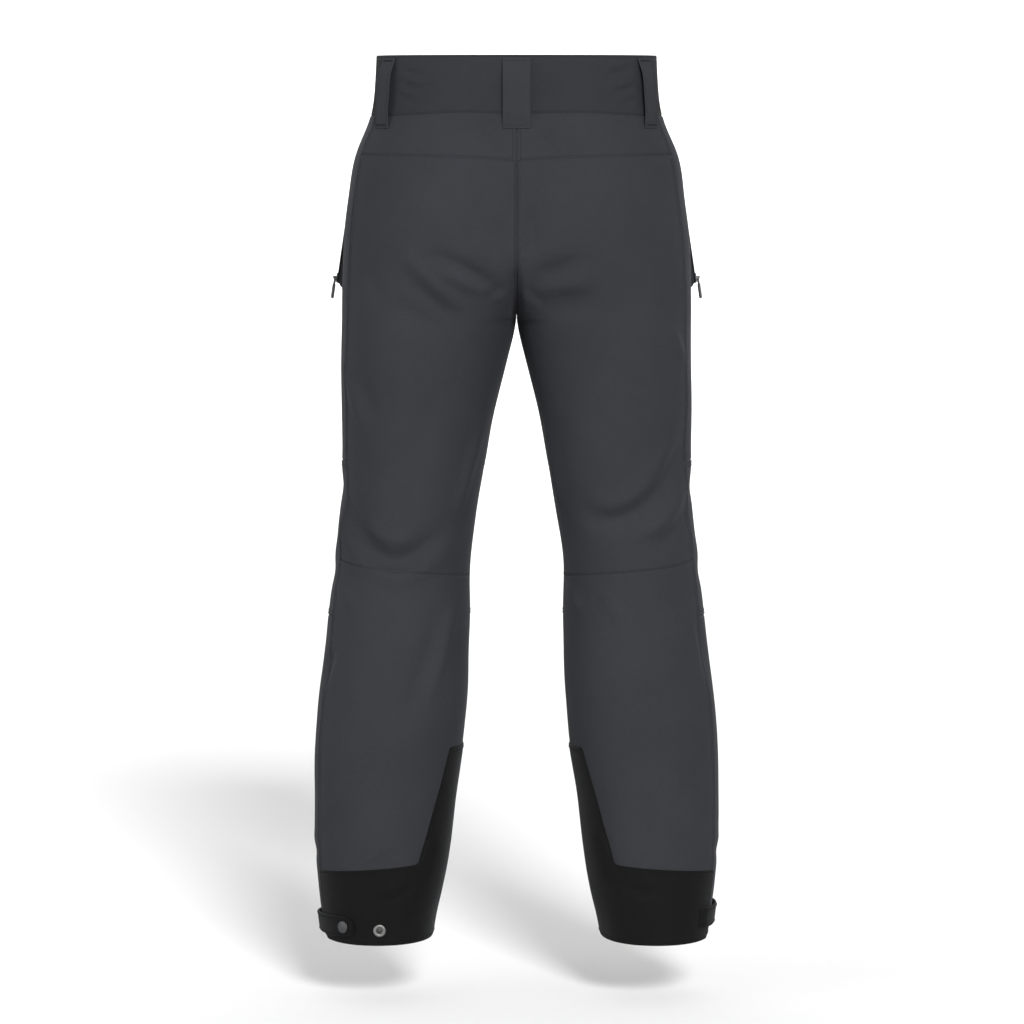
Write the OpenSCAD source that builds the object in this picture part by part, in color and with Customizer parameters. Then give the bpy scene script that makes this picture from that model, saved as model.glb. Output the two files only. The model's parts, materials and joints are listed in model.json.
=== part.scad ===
// Ski pants with hinged hips and knees, zips, snaps, belt loops and snow gaiters.
// +X is the wearer's left, -Y the front and +Z up. The origin is the centre of the waist opening,
// at the top of the waistband. Heights in the code are above the hem until a point is placed.

/* [Lengths] */
// Length of the side, from the top of the waistband to the hem
outseam = 1058; // [1040:1:1080]
// Height of the crotch above the hem
inseam = 744; // [735:1:755]
// Height of the waistband
band = 70; // [64:1:76]
// Depth of the back yoke below the waistband, at the side
yoke = 48; // [40:1:56]
// Height of the knee hinge above the hem
knee = 475; // [465:1:485]

/* [Girths] */
// Width of the waist opening
waist_w = 336; // [320:1:350]
// Front to back size of the waist opening
waist_d = 240; // [225:1:255]
// Width over the hips
hip_w = 418; // [405:1:430]
// Front to back size over the seat
hip_d = 280; // [265:1:290]
// How round a leg is, where 1 is an ellipse and less is squarer
leg_square = 0.93; // [0.86:0.01:1]
// How round the hips are, where 1 is an ellipse and less is squarer
hip_square = 0.88; // [0.84:0.01:1]

/* [Fabric] */
// Thickness of the shell fabric with its lining
shell = 2.0; // [1.6:0.1:2.4]
// Thickness of webbing and of folded tabs
webbing = 1.6; // [1.2:0.1:2]
// Segments round a leg, a multiple of 16
around = 32; // [32:16:48]

/* [Hinges] */
// Height of the hip hinge above the crotch
hip_up = 46; // [40:1:60]
// Slope of the hip crease from the crotch to the side, in degrees
crease = 30; // [25:1:35]
// Height of the fabric that folds at a hip
hip_fold = 160; // [150:1:164]
// Height of the fabric that folds at a knee
knee_fold = 180; // [170:2:190]

/* [Zips and snaps] */
// Length of the fly zip
fly = 140; // [130:1:150]
// Length of a hand pocket zip
pocket = 130; // [120:1:134]
// Outer diameter of a snap
snap_d = 15; // [12:0.5:16]
// Diameter of the pin that a zip pull swings on
pin_d = 1.6; // [1.4:0.1:1.8]

/* [Hidden] */

charcoal = "#404145";
black = "#1a1a1a";
steel = "#8c8c8a";
cap_grey = "#555658";
fleece = "#2c2d30";

gap = 0.15;                       // each half stays this far from the centre plane
step = 360 / around;
side_seam = 2 * step;             // the side seam lies behind the widest line
band_low = outseam - band;
yoke_low = band_low - yoke;
fold_up = knee + knee_fold / 2;
fold_down = knee - knee_fold / 2;
saddle = 90;                      // the crotch curve reaches the seat in this height
guard_top = 234;
cuff_back = 90;
insert_lo = -4;
insert_hi = 19;

// Hips and waist: height, half width, half depth, middle in Y
TORSO = [
  [inseam - 40, hip_w / 2, hip_d / 2 - 12, 5],
  [inseam + 36, hip_w / 2, hip_d / 2 - 2, 7],
  [inseam + 96, hip_w / 2 - 2, hip_d / 2, 8],
  [inseam + 145, hip_w / 2 - 8, hip_d / 2 - 2, 7],
  [yoke_low, hip_w / 2 - 16, hip_d / 2 - 7, 4],
  [band_low, waist_w / 2 + 6, waist_d / 2 + 4, 0],
  [outseam, waist_w / 2, waist_d / 2, 0]
];

// One leg: height, outer edge, inner edge, half depth, middle in Y
LEG = [
  [0, 231, 102, 86, 6],
  [30, 235, 97, 88, 6],
  [75, 240, 86, 90, 6],
  [160, 244, 75, 92, 7],
  [260, 241, 61, 92, 8],
  [360, 229, 56, 90, 5],
  [knee - 20, 219, 55, 89, -3],
  [550, 210, 41, 96, -3],
  [600, 210, 33, 100, -1],
  [650, 210.5, 22, 105, 1],
  [700, 210, 10, 111, 3],
  [inseam, hip_w / 2, 0, 117, 5],
  [inseam + 50, hip_w / 2, 0, 124, 6],
  [inseam + 120, hip_w / 2 - 5, 0, 130, 7]
];

// Smooth reading of column c of a table at height h
function row_at(t, h, i = 0) = (i >= len(t) - 2 || h <= t[i + 1][0]) ? i : row_at(t, h, i + 1);
function slope(t, c, i) =
  let (a = max(0, i - 1), b = min(len(t) - 1, i + 1))
  (t[b][c] - t[a][c]) / (t[b][0] - t[a][0]);
function read(t, c, h) =
  let (i = row_at(t, h), d = t[i + 1][0] - t[i][0], s = (h - t[i][0]) / d)
  let (m0 = slope(t, c, i) * d, m1 = slope(t, c, i + 1) * d)
  t[i][c] * (2 * pow(s, 3) - 3 * s * s + 1) + m0 * (pow(s, 3) - 2 * s * s + s)
  + t[i + 1][c] * (3 * s * s - 2 * pow(s, 3)) + m1 * (pow(s, 3) - s * s);
function mix(a, b, s) = a + (b - a) * s;
function power(v, e) = sign(v) * pow(abs(v), e);

// Points on the surface. Angle 0 is the outer side, 90 the back, -90 the front, 180 the inside.
function leg_xy(f, h) =
  let (o = read(LEG, 1, h), i = read(LEG, 2, h))
  [(o + i) / 2 + (o - i) / 2 * power(cos(f), leg_square),
   read(LEG, 4, h) + read(LEG, 3, h) * power(sin(f), leg_square)];
function hip_xy(p, h) =
  [read(TORSO, 1, h) * power(cos(p), hip_square),
   read(TORSO, 3, h) + read(TORSO, 2, h) * power(sin(p), hip_square)];
function half_angle(f) = f * (5 - 2 * abs(f) / 180) / 6;
function saddle_share(h) =
  h <= inseam ? 0 : h >= inseam + saddle ? 1 : sqrt(1 - pow(1 - (h - inseam) / saddle, 2));
function skin_xy(f, h) =
  let (k = saddle_share(h)) (1 - k) * leg_xy(f, h) + k * hip_xy(half_angle(f), h);
function turn_out(a, b) = let (t = b - a) [t.y, -t.x] / norm(t);
function skin_out(f, h) = turn_out(skin_xy(f - 1, h), skin_xy(f + 1, h));
function hip_out(p, h) = turn_out(hip_xy(p - 1, h), hip_xy(p + 1, h));

// A point of the left half at angle f and height h, moved out by s
on_skin = function (f, h, s)
  let (p = skin_xy(f, h) + s * skin_out(f, h)) [max(p.x, gap), p.y, h - outseam];
// A point of the whole hip ring at angle p
on_ring = function (p, h, s)
  let (q = hip_xy(p, h) + s * hip_out(p, h)) [q.x, q.y, h - outseam];

function steps(a, b, n) = [for (i = [0:n]) mix(a, b, i / n)];
function level(h) = function (f) h;
// Seam lines, as heights over the angle
crotch_line = function (f) inseam + tan(crease) * skin_xy(f, inseam + hip_up).x * 0.98;
thigh_line = function (f) crotch_line(f) - hip_fold;
yoke_line = function (f) yoke_low - 9 * pow(max(0, f - side_seam) / 180, 2);
guard_line = function (f)
  f < 124 ? mix(84, 96, (f - side_seam) / 100)
  : f < 146 ? mix(96, guard_top, (f - 124) / 22)
  : f < 214 ? guard_top
  : mix(guard_top, 40, (f - 214) / 26);

// A sheet between two lines, over the angles fs, from s = top inwards
module sheet(fs, lo, hi, n, top = 0, t = shell, where = on_skin, ease = 1, closed = false) {
  m = len(fs);
  last = closed ? m - 1 : m - 2;
  points = [
    for (s = [top, top - t]) for (j = [0:n]) for (f = fs)
      where(f, mix(lo(f), hi(f), pow(j / n, ease)), s)
  ];
  function o(i, j) = j * m + i % m;
  function k(i, j) = (n + 1) * m + j * m + i % m;
  skin = [
    for (i = [0:last]) for (j = [0:n - 1]) each [
      [o(i, j), o(i, j + 1), o(i + 1, j + 1)], [o(i, j), o(i + 1, j + 1), o(i + 1, j)],
      [k(i, j), k(i + 1, j + 1), k(i, j + 1)], [k(i, j), k(i + 1, j), k(i + 1, j + 1)]
    ]
  ];
  edges = [
    for (i = [0:last]) each [
      [o(i, 0), o(i + 1, 0), k(i + 1, 0)], [o(i, 0), k(i + 1, 0), k(i, 0)],
      [o(i + 1, n), o(i, n), k(i + 1, n)], [o(i, n), k(i, n), k(i + 1, n)]
    ]
  ];
  e = m - 1;
  sides = closed ? [] : [
    for (j = [0:n - 1]) each [
      [o(0, j + 1), o(0, j), k(0, j + 1)], [o(0, j), k(0, j), k(0, j + 1)],
      [o(e, j), o(e, j + 1), k(e, j + 1)], [o(e, j), k(e, j + 1), k(e, j)]
    ]
  ];
  polyhedron(points, concat(skin, edges, sides));
}

module other_side() {
  mirror([1, 0, 0]) children();
}

// Places children on the surface, +Z outwards and +X down
module on_leg(f, h, s = 0) {
  n = skin_out(f, h);
  translate(on_skin(f, h, s)) rotate([0, 90, atan2(n.y, n.x)]) children();
}

module on_band(p, h, s = 0) {
  n = hip_out(p, h);
  translate(on_ring(p, h, s)) rotate([0, 90, atan2(n.y, n.x)]) children();
}

// Angle lists
back_fs = steps(side_seam, 180, around / 2 - 2);
front_fs = steps(-180, side_seam, around / 2 + 2);
ring_fs = steps(-180, 180 - step, around - 1);
guard_fs = steps(side_seam, side_seam + 19 * step, 38);

// --- Waist ---
module waistband_back() {
  color(charcoal) sheet(steps(insert_hi, 180 - insert_hi, 28), level(band_low), level(outseam), 4,
    where = on_ring);
}

module waistband_front() {
  color(charcoal) sheet(steps(-90 + 0.2, insert_lo, 16), level(band_low), level(outseam), 4,
    where = on_ring);
}

module waistband_lining() {
  color(fleece) sheet(steps(-180, 174, 59), level(band_low + 3), level(outseam - 3), 2,
    top = -shell - 0.8, t = 1.2, where = on_ring, closed = true);
}

module elastic_insert() {
  color(black) sheet(steps(insert_lo + 0.2, insert_hi - 0.2, 6), level(band_low), level(outseam - 1),
    3, top = -0.4, t = shell - 0.8, where = on_ring);
}

// A strip of webbing that stands off the waistband, w wide, at ring angle p
module belt_loop(p, w, stand) {
  n = hip_out(p, band_low);
  low = band_low - 16;
  high = outseam - 3;
  hs = steps(low, high, 20);
  function rest(h) = (hip_xy(p, h) - hip_xy(p, band_low)) * n;
  function bow(h) = let (s = (h - low) / (high - low))
    0.4 + stand * min(1, pow(sin(180 * s), 2) * 3.2);
  color(charcoal)
    translate(on_ring(p, band_low, 0)) rotate([0, 0, atan2(n.y, n.x)]) rotate([90, 0, 0])
      linear_extrude(w, center = true) polygon(concat(
        [for (h = hs) [rest(h) + bow(h) + webbing, h - band_low]],
        [for (i = [len(hs) - 1:-1:0]) [rest(hs[i]) + bow(hs[i]), hs[i] - band_low]]));
}

module belt_loops(p) {
  belt_loop(p, 25, 7);
  other_side() belt_loop(p, 25, 7);
}

module hang_loop() {
  color(black)
    translate([0, waist_d / 2 - 7.2, -16]) rotate([0, 90, 90])
      linear_extrude(1.4) difference() {
        offset(3) square([22, 54], center = true);
        offset(1.5) square([14, 46], center = true);
      }
}

// --- Hips ---
module yoke_panel() {
  color(charcoal) sheet(back_fs, yoke_line, level(band_low), 4);
}

module seat_panel() {
  color(charcoal) sheet(back_fs, crotch_line, yoke_line, 12, ease = 1.6);
}

module front_panel() {
  color(charcoal) sheet(front_fs, crotch_line, level(band_low), 14, ease = 1.6);
}

// Two layers of pocketing that lie flat inside the front panel
module pocket_bag() {
  color(fleece) sheet(steps(-92, -12, 8), function (f) mix(906, 876, (f + 92) / 80),
    level(band_low - 8), 5, top = -shell - 0.6, t = 1.6);
}

// --- Zips: a straight line between two points of the surface ---
function unit(v) = v / norm(v);
function zip_rows(foot, head, out) =
  let (y = unit(head - foot), z = unit(out - (out * y) * y), x = cross(y, z))
  [[x.x, y.x, z.x, foot.x], [x.y, y.y, z.y, foot.y], [x.z, y.z, z.z, foot.z], [0, 0, 0, 1]];
function flat(v) = [v.x, v.y, 0];
POCKET = let (low = 786) zip_rows(
  on_skin(-7, low, 5.8), on_skin(-20, low + pocket, 5), flat(skin_out(-13, low + 65)));
FLY = let (low = 842) zip_rows(
  [0, on_ring(-90, low, 4.4).y, low - outseam],
  [0, on_ring(-90, low + fly, 3.6).y, low + fly - outseam], [0, -1, 0]);

// Tape on each side of a bar of teeth; +Y runs up the zip, +Z out of the fabric
module zip_chain(length) {
  color(black) {
    translate([-13, 0, -1.3]) cube([11, length, 0.8]);
    translate([2, 0, -1.3]) cube([11, length, 0.8]);
    translate([-2, 0, -1.3]) cube([4, length, 2]);
  }
}

module zip_slider() {
  color(steel) translate([0, 6, 0]) difference() {
    union() {
      translate([-4.5, -5.5, -0.1]) cube([9, 11, 2.4]);
      for (x = [-4.3, 3.1]) translate([x, -1.6, 2]) cube([1.2, 3.2, 4.4]);
      translate([-4, 0, 5]) rotate([0, 90, 0]) cylinder(h = 8, d = pin_d, $fn = 24);
    }
    translate([-2.5, -6, -1]) cube([5, 12, 2]);
  }
}

// The pull hangs from the pin, down the zip
module zip_pull(length) {
  color(black) translate([0, 6, 5]) difference() {
    union() {
      translate([-2.4, 0, 0]) rotate([0, 90, 0]) cylinder(h = 4.8, d = pin_d + 2.2, $fn = 32);
      translate([-2.4, -8, -0.7]) cube([4.8, 7, 1.4]);
      translate([0, -5 - length / 2, -0.9]) linear_extrude(1.8)
        offset(2) square([4, length - 8], center = true);
    }
    translate([-3, 0, 0]) rotate([0, 90, 0]) cylinder(h = 6, d = pin_d + 0.6, $fn = 32);
    translate([0, -length, -2]) linear_extrude(4) offset(0.8) square([1, 5], center = true);
  }
}

module fly_facing() {
  color(charcoal) for (x = [-1, 1]) multmatrix(FLY)
    translate([x > 0 ? 5.2 : -17.2, -6, -0.3]) cube([12, fly + 4, 0.9]);
}

module fly_zip() {
  multmatrix(FLY) zip_chain(fly);
}

module fly_slider() {
  multmatrix(FLY) translate([0, fly - 12, 0]) zip_slider();
}

module fly_pull() {
  multmatrix(FLY) translate([0, fly - 12, 0]) zip_pull(22);
}

module pocket_zip() {
  multmatrix(POCKET) zip_chain(pocket);
}

module pocket_slider() {
  multmatrix(POCKET) zip_slider();
}

module pocket_pull() {
  multmatrix(POCKET) zip_pull(22);
}

// --- Waist closure ---
tab_low = band_low + 12;
tab_high = outseam - 12;
tab_snaps = [-94, -99];
module waist_tab() {
  color(charcoal) sheet(steps(-105, -80, 14), level(tab_low), level(tab_high), 4,
    top = 1.8 + webbing, t = webbing, where = on_ring);
}

module waist_studs() {
  color(steel) for (p = tab_snaps) on_band(p, (tab_low + tab_high) / 2, 0.1)
    cylinder(h = 1.3, d = 9, $fn = 48);
}

module waist_snap_caps() {
  color(cap_grey) for (p = tab_snaps) on_band(p, (tab_low + tab_high) / 2, 2.4 + webbing)
    cylinder(h = 1.8, d1 = snap_d - 1, d2 = snap_d - 4, $fn = 48);
}

// --- Legs ---
module hip_fold() {
  color(charcoal) sheet(ring_fs, thigh_line, crotch_line, 8, closed = true);
}

module thigh() {
  color(charcoal) sheet(ring_fs, level(fold_up), thigh_line, 4, closed = true);
}

module knee_front() {
  color(charcoal) sheet(front_fs, level(fold_down), level(fold_up), 10);
}

module knee_back() {
  color(charcoal) sheet(back_fs, level(fold_down), level(fold_up), 10);
}

module shin_panel() {
  color(charcoal) sheet(front_fs, level(0), level(fold_down), 14);
}

module calf_panel() {
  color(charcoal) sheet(back_fs, level(0), level(fold_down), 14);
}

module scuff_guard() {
  color(black) sheet(guard_fs, level(0), guard_line, 8, top = 1.6, t = 1.2);
}

// --- Snow gaiter inside the hem ---
gaiter_out = function (f, h, s)
  let (k = (200 - h) / 170, d = -shell - 1 - 26 * pow(max(0, k), 0.8))
  on_skin(f, h, s + d);
module gaiter() {
  color(fleece) sheet(steps(-180, 165, 23), level(34), level(200), 5, t = 1.2,
    where = gaiter_out, closed = true);
}

module gaiter_elastic() {
  color(black) sheet(steps(-180, 165, 23), level(14), level(33.6), 2, top = 0.4, t = 2.2,
    where = gaiter_out, closed = true);
}

// A wire hook on the front of the gaiter, for the boot laces
module lace_hook() {
  p = gaiter_out(-90, 26, 2.2);
  color(steel) translate([p.x, p.y, p.z]) rotate([90, 0, 0]) {
    translate([0, 2, 0]) linear_extrude(1.4) difference() {
      offset(2) square([12, 8], center = true);
      offset(1) square([9, 3], center = true);
    }
    for (x = [-3.5, 3.5]) translate([x, -4, 0.7]) rotate([90, 0, 0])
      cylinder(h = 6, d = 1.6, $fn = 24);
  }
}

// --- Cuff tabs and their snaps ---
// A tab is sewn on at an angle and runs from there towards the back or towards the front
tab_half = 12;
tab_long = 68;
tab_stud = 58;
spare_stud = 92;
LEFT_TAB = [0, 1, 21];            // angle of the sewn end, way, height
RIGHT_TAB = [44, -1, 29];
function tab_reach(f, tab) = let (s = (abs(f - tab[0]) - tab_stud + 1) / (tab_long - tab_stud + 1))
  s > 0 ? mix(tab_half, 4, s * s) : tab_half;
function cuff_base(f) = f > side_seam ? 2.1 : 0.3;
module cuff_tab(tab) {
  ends = [tab[0], tab[0] + tab[1] * tab_long];
  color(black) sheet(steps(min(ends), max(ends), 22), function (f) tab[2] - tab_reach(f, tab),
    function (f) tab[2] + tab_reach(f, tab), 4, top = 3.4 + webbing, t = webbing);
}

module cuff_studs(tab) {
  under = tab[0] + tab[1] * tab_stud;
  spare = tab[0] + tab[1] * spare_stud;
  color(steel) {
    on_leg(under, tab[2], cuff_base(under)) cylinder(h = 2.6 - cuff_base(under), d = 9, $fn = 48);
    on_leg(spare, tab[2] - 3, cuff_base(spare)) difference() {
      cylinder(h = 1.6, d = snap_d, $fn = 48);
      translate([0, 0, 0.6]) cylinder(h = 2, d = 7, $fn = 48);
    }
  }
}

module cuff_cap(tab) {
  color(cap_grey) on_leg(tab[0] + tab[1] * tab_stud, tab[2], 4.5 + webbing)
    cylinder(h = 1.8, d1 = snap_d - 1, d2 = snap_d - 4, $fn = 48);
}

waistband_back();
waistband_front();  // waistband_front_left
other_side() waistband_front();  // waistband_front_right
waistband_lining();
elastic_insert();  // elastic_insert_left
other_side() elastic_insert();  // elastic_insert_right
belt_loop(90, 33, 6);  // belt_loop_center
belt_loops(29);  // belt_loops_back
belt_loops(-52);  // belt_loops_front
hang_loop();
yoke_panel();  // yoke_left
other_side() yoke_panel();  // yoke_right
seat_panel();  // seat_panel_left
other_side() seat_panel();  // seat_panel_right
front_panel();  // front_panel_left
other_side() front_panel();  // front_panel_right
pocket_bag();  // pocket_bag_left
other_side() pocket_bag();  // pocket_bag_right
pocket_zip();  // pocket_zip_left
other_side() pocket_zip();  // pocket_zip_right
fly_facing();
fly_zip();
waist_studs();
fly_slider();
fly_pull();
pocket_slider();  // pocket_slider_left
other_side() pocket_slider();  // pocket_slider_right
pocket_pull();  // pocket_pull_left
other_side() pocket_pull();  // pocket_pull_right
waist_tab();
waist_snap_caps();
hip_fold();  // hip_fold_left
other_side() hip_fold();  // hip_fold_right
thigh();  // thigh_left
other_side() thigh();  // thigh_right
knee_front();  // knee_front_left
other_side() knee_front();  // knee_front_right
knee_back();  // knee_back_left
other_side() knee_back();  // knee_back_right
shin_panel();  // shin_panel_left
other_side() shin_panel();  // shin_panel_right
calf_panel();  // calf_panel_left
other_side() calf_panel();  // calf_panel_right
scuff_guard();  // scuff_guard_left
other_side() scuff_guard();  // scuff_guard_right
gaiter();  // gaiter_left
other_side() gaiter();  // gaiter_right
gaiter_elastic();  // gaiter_elastic_left
other_side() gaiter_elastic();  // gaiter_elastic_right
lace_hook();  // lace_hook_left
other_side() lace_hook();  // lace_hook_right
cuff_studs(LEFT_TAB);  // cuff_studs_left
other_side() cuff_studs(RIGHT_TAB);  // cuff_studs_right
cuff_tab(LEFT_TAB);  // cuff_tab_left
other_side() cuff_tab(RIGHT_TAB);  // cuff_tab_right
cuff_cap(LEFT_TAB);  // cuff_cap_left
other_side() cuff_cap(RIGHT_TAB);  // cuff_cap_right
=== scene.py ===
"""Ski pants: the looks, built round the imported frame. Metres, +X the wearer's left, +Y the back.

Every cloth panel is a dense sheet over the skin that the CAD shell defines. Its rows and columns
close up at the seams, where it turns in. Folds, felled seams and stitches are real geometry.
"""

import json
import math

import bpy
import numpy as np
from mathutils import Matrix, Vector
from mathutils.bvhtree import BVHTree


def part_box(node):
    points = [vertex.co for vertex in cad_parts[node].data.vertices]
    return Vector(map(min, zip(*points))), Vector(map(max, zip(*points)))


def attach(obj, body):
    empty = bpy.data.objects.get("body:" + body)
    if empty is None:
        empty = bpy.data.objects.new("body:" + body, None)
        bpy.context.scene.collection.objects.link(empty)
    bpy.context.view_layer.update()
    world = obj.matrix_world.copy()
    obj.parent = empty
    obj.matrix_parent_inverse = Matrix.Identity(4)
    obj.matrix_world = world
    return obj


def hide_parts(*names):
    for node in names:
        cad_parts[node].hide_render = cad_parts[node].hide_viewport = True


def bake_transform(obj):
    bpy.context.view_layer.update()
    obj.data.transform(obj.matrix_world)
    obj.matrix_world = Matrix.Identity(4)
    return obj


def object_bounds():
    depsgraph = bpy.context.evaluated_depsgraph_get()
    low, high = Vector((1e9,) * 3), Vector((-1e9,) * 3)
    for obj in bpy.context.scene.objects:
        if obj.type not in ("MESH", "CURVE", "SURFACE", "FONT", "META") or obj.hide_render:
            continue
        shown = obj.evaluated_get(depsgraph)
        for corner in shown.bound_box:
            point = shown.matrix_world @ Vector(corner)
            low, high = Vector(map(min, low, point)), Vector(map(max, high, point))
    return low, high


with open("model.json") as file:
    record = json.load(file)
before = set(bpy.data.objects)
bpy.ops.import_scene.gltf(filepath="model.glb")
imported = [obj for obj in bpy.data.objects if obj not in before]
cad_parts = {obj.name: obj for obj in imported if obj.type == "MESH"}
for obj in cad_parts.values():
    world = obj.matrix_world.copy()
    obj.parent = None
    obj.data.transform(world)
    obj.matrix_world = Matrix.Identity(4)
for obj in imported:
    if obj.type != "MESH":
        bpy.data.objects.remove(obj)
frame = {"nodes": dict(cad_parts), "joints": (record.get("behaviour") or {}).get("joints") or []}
cad_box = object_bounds()
MM = 0.001
SIDES = {"left": 1, "right": -1}


def add_object(name, data):
    item = bpy.data.objects.new(name, data)
    bpy.context.scene.collection.objects.link(item)
    return item


def unit(v):
    return v / np.maximum(np.linalg.norm(v, axis=-1, keepdims=True), 1e-12)


def smooth(t):
    return t * t * (3 - 2 * t)


def step_up(d, a, b):
    return smooth(np.clip((d - a) / (b - a), 0, 1))


def bump_at(d, place, wide):
    return np.exp(-((d - place) / wide) ** 2)


def walk_along(path):
    """The distance along a path at each of its points."""
    gaps = np.linalg.norm(np.diff(path, axis=0), axis=1)
    return np.concatenate([[0], np.cumsum(gaps)])


# ------------------------------------------------------------------ camera, light and stage
VIEW_WIDTH = 1.231          # what the picture's width spans at the pants, in metres
VIEW_SHIFT = (0.0054, -0.0178)      # from the middle of the pants to the picture's, in x and z
CAMERA_FAR = 6.5
CAMERA_RISE = math.radians(4.3)
BOOT_HEIGHT = 0.075         # the hem hangs this far over the floor, as over a boot
FLOOR_TONE = 0.69


def make_camera():
    height = (cad_box[0][2] + cad_box[1][2]) / 2
    middle = Vector((VIEW_SHIFT[0], 0.0, height + VIEW_SHIFT[1]))
    place = middle + CAMERA_FAR * Vector((0, math.cos(CAMERA_RISE), math.sin(CAMERA_RISE)))
    data = bpy.data.cameras.new("camera")
    data.angle = 2 * math.atan(VIEW_WIDTH / 2 / CAMERA_FAR)
    data.clip_end = 60
    camera = add_object("camera", data)
    camera.location = place
    camera.rotation_euler = (middle - place).to_track_quat("-Z", "Y").to_euler()
    bpy.context.scene.camera = camera


def sun(name, place, strength, spread):
    """A broad soft light that shines from place towards the pants."""
    data = bpy.data.lights.new(name, "SUN")
    data.energy = strength
    data.angle = math.radians(spread)
    light = add_object(name, data)
    light.location = place
    light.rotation_euler = (-Vector(place)).to_track_quat("-Z", "Y").to_euler()


def make_stage():
    """A pale floor that curves up far behind the pants, on the side away from the camera."""
    low = cad_box[0][2] - BOOT_HEIGHT
    curve = [(-6 - 3 * math.sin(a), 3 - 3 * math.cos(a)) for a in np.radians(range(6, 91, 6))]
    along = [(12.0, 0.0), (0.0, 0.0), (-6.0, 0.0)] + curve + [(-9.0, 9.0)]
    verts = [(x, y, low + z) for y, z in along for x in (-14, 0, 14)]
    faces = [(a, a + 1, a + 4, a + 3)
             for j in range(len(along) - 1) for a in (3 * j, 3 * j + 1)]
    mesh = bpy.data.meshes.new("studio_floor")
    mesh.from_pydata(verts, [], faces)
    for polygon in mesh.polygons:
        polygon.use_smooth = True
    floor = add_object("studio_floor", mesh)
    material = bpy.data.materials.new("studio_floor")
    material.use_nodes = True
    shader = material.node_tree.nodes["Principled BSDF"]
    shader.inputs["Base Color"].default_value = (*[FLOOR_TONE] * 3, 1)
    shader.inputs["Roughness"].default_value = 0.9
    shader.inputs["Specular IOR Level"].default_value = 0.1
    mesh.materials.append(material)


def make_lights():
    world = bpy.data.worlds.new("studio")
    world.use_nodes = True
    sky = world.node_tree.nodes["Background"]
    sky.inputs["Color"].default_value = (1, 1, 1, 1)
    sky.inputs["Strength"].default_value = 0.67
    bpy.context.scene.world = world
    sun("key", (-0.19, 1.0, 0.48), 4.4, 12)
    sun("fill_left", (1.0, 0.5, 0.12), 1.5, 40)
    sun("fill_right", (-0.35, 1.0, 0.06), 1.2, 40)
    sun("fill_front", (0.3, -1.0, 0.14), 1.0, 50)
    bpy.context.scene.view_settings.view_transform = "Standard"


# ------------------------------------------------------------------ the skin, read from the frame
LEG_POWER = 0.93            # how round a leg is: 1 is an ellipse, less is squarer
HIP_POWER = 0.88
PROFILE_ROWS = 212
LEG_AT_HIP = (0.93, 0.94)   # a leg's depth beside the hips', above the saddle and 50 mm higher
SADDLE = 0.09               # the crotch curve reaches the seat in this height
SKIN_PARTS = ("waistband_front", "elastic_insert", "yoke", "seat_panel", "front_panel",
              "hip_fold", "thigh", "knee_front", "knee_back", "shin_panel", "calf_panel")

hem_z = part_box("shin_panel_left")[0].z
top_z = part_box("waistband_back")[1].z
band_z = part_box("waistband_back")[0].z
crotch_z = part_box("seat_panel_left")[0].z
joints = {j["name"]: j for j in frame["joints"]}


def up(h):
    """Height above the hem, in millimetres, as z in the frame."""
    return hem_z + h * MM


def skin_tree(sides):
    """What the outer shell of the CAD is on those sides, for rays to hit."""
    names = [f"{part}_{side}" for side in sides for part in SKIN_PARTS] + ["waistband_back"]
    verts, faces = [], []
    for name in names:
        mesh = frame["nodes"][name].data
        base = len(verts)
        verts += [v.co.copy() for v in mesh.vertices]
        faces += [[base + i for i in p.vertices] for p in mesh.polygons]
    return BVHTree.FromPolygons(verts, faces)


def soften(values, sigma):
    """A Gaussian blur that keeps the slope at both ends."""
    reach = int(3 * sigma)
    weights = np.exp(-0.5 * (np.arange(-reach, reach + 1) / sigma) ** 2)
    padded = np.concatenate([
        2 * values[0] - values[reach:0:-1], values, 2 * values[-1] - values[-2:-reach - 2:-1]])
    return np.convolve(padded, weights / weights.sum(), "valid")


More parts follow.
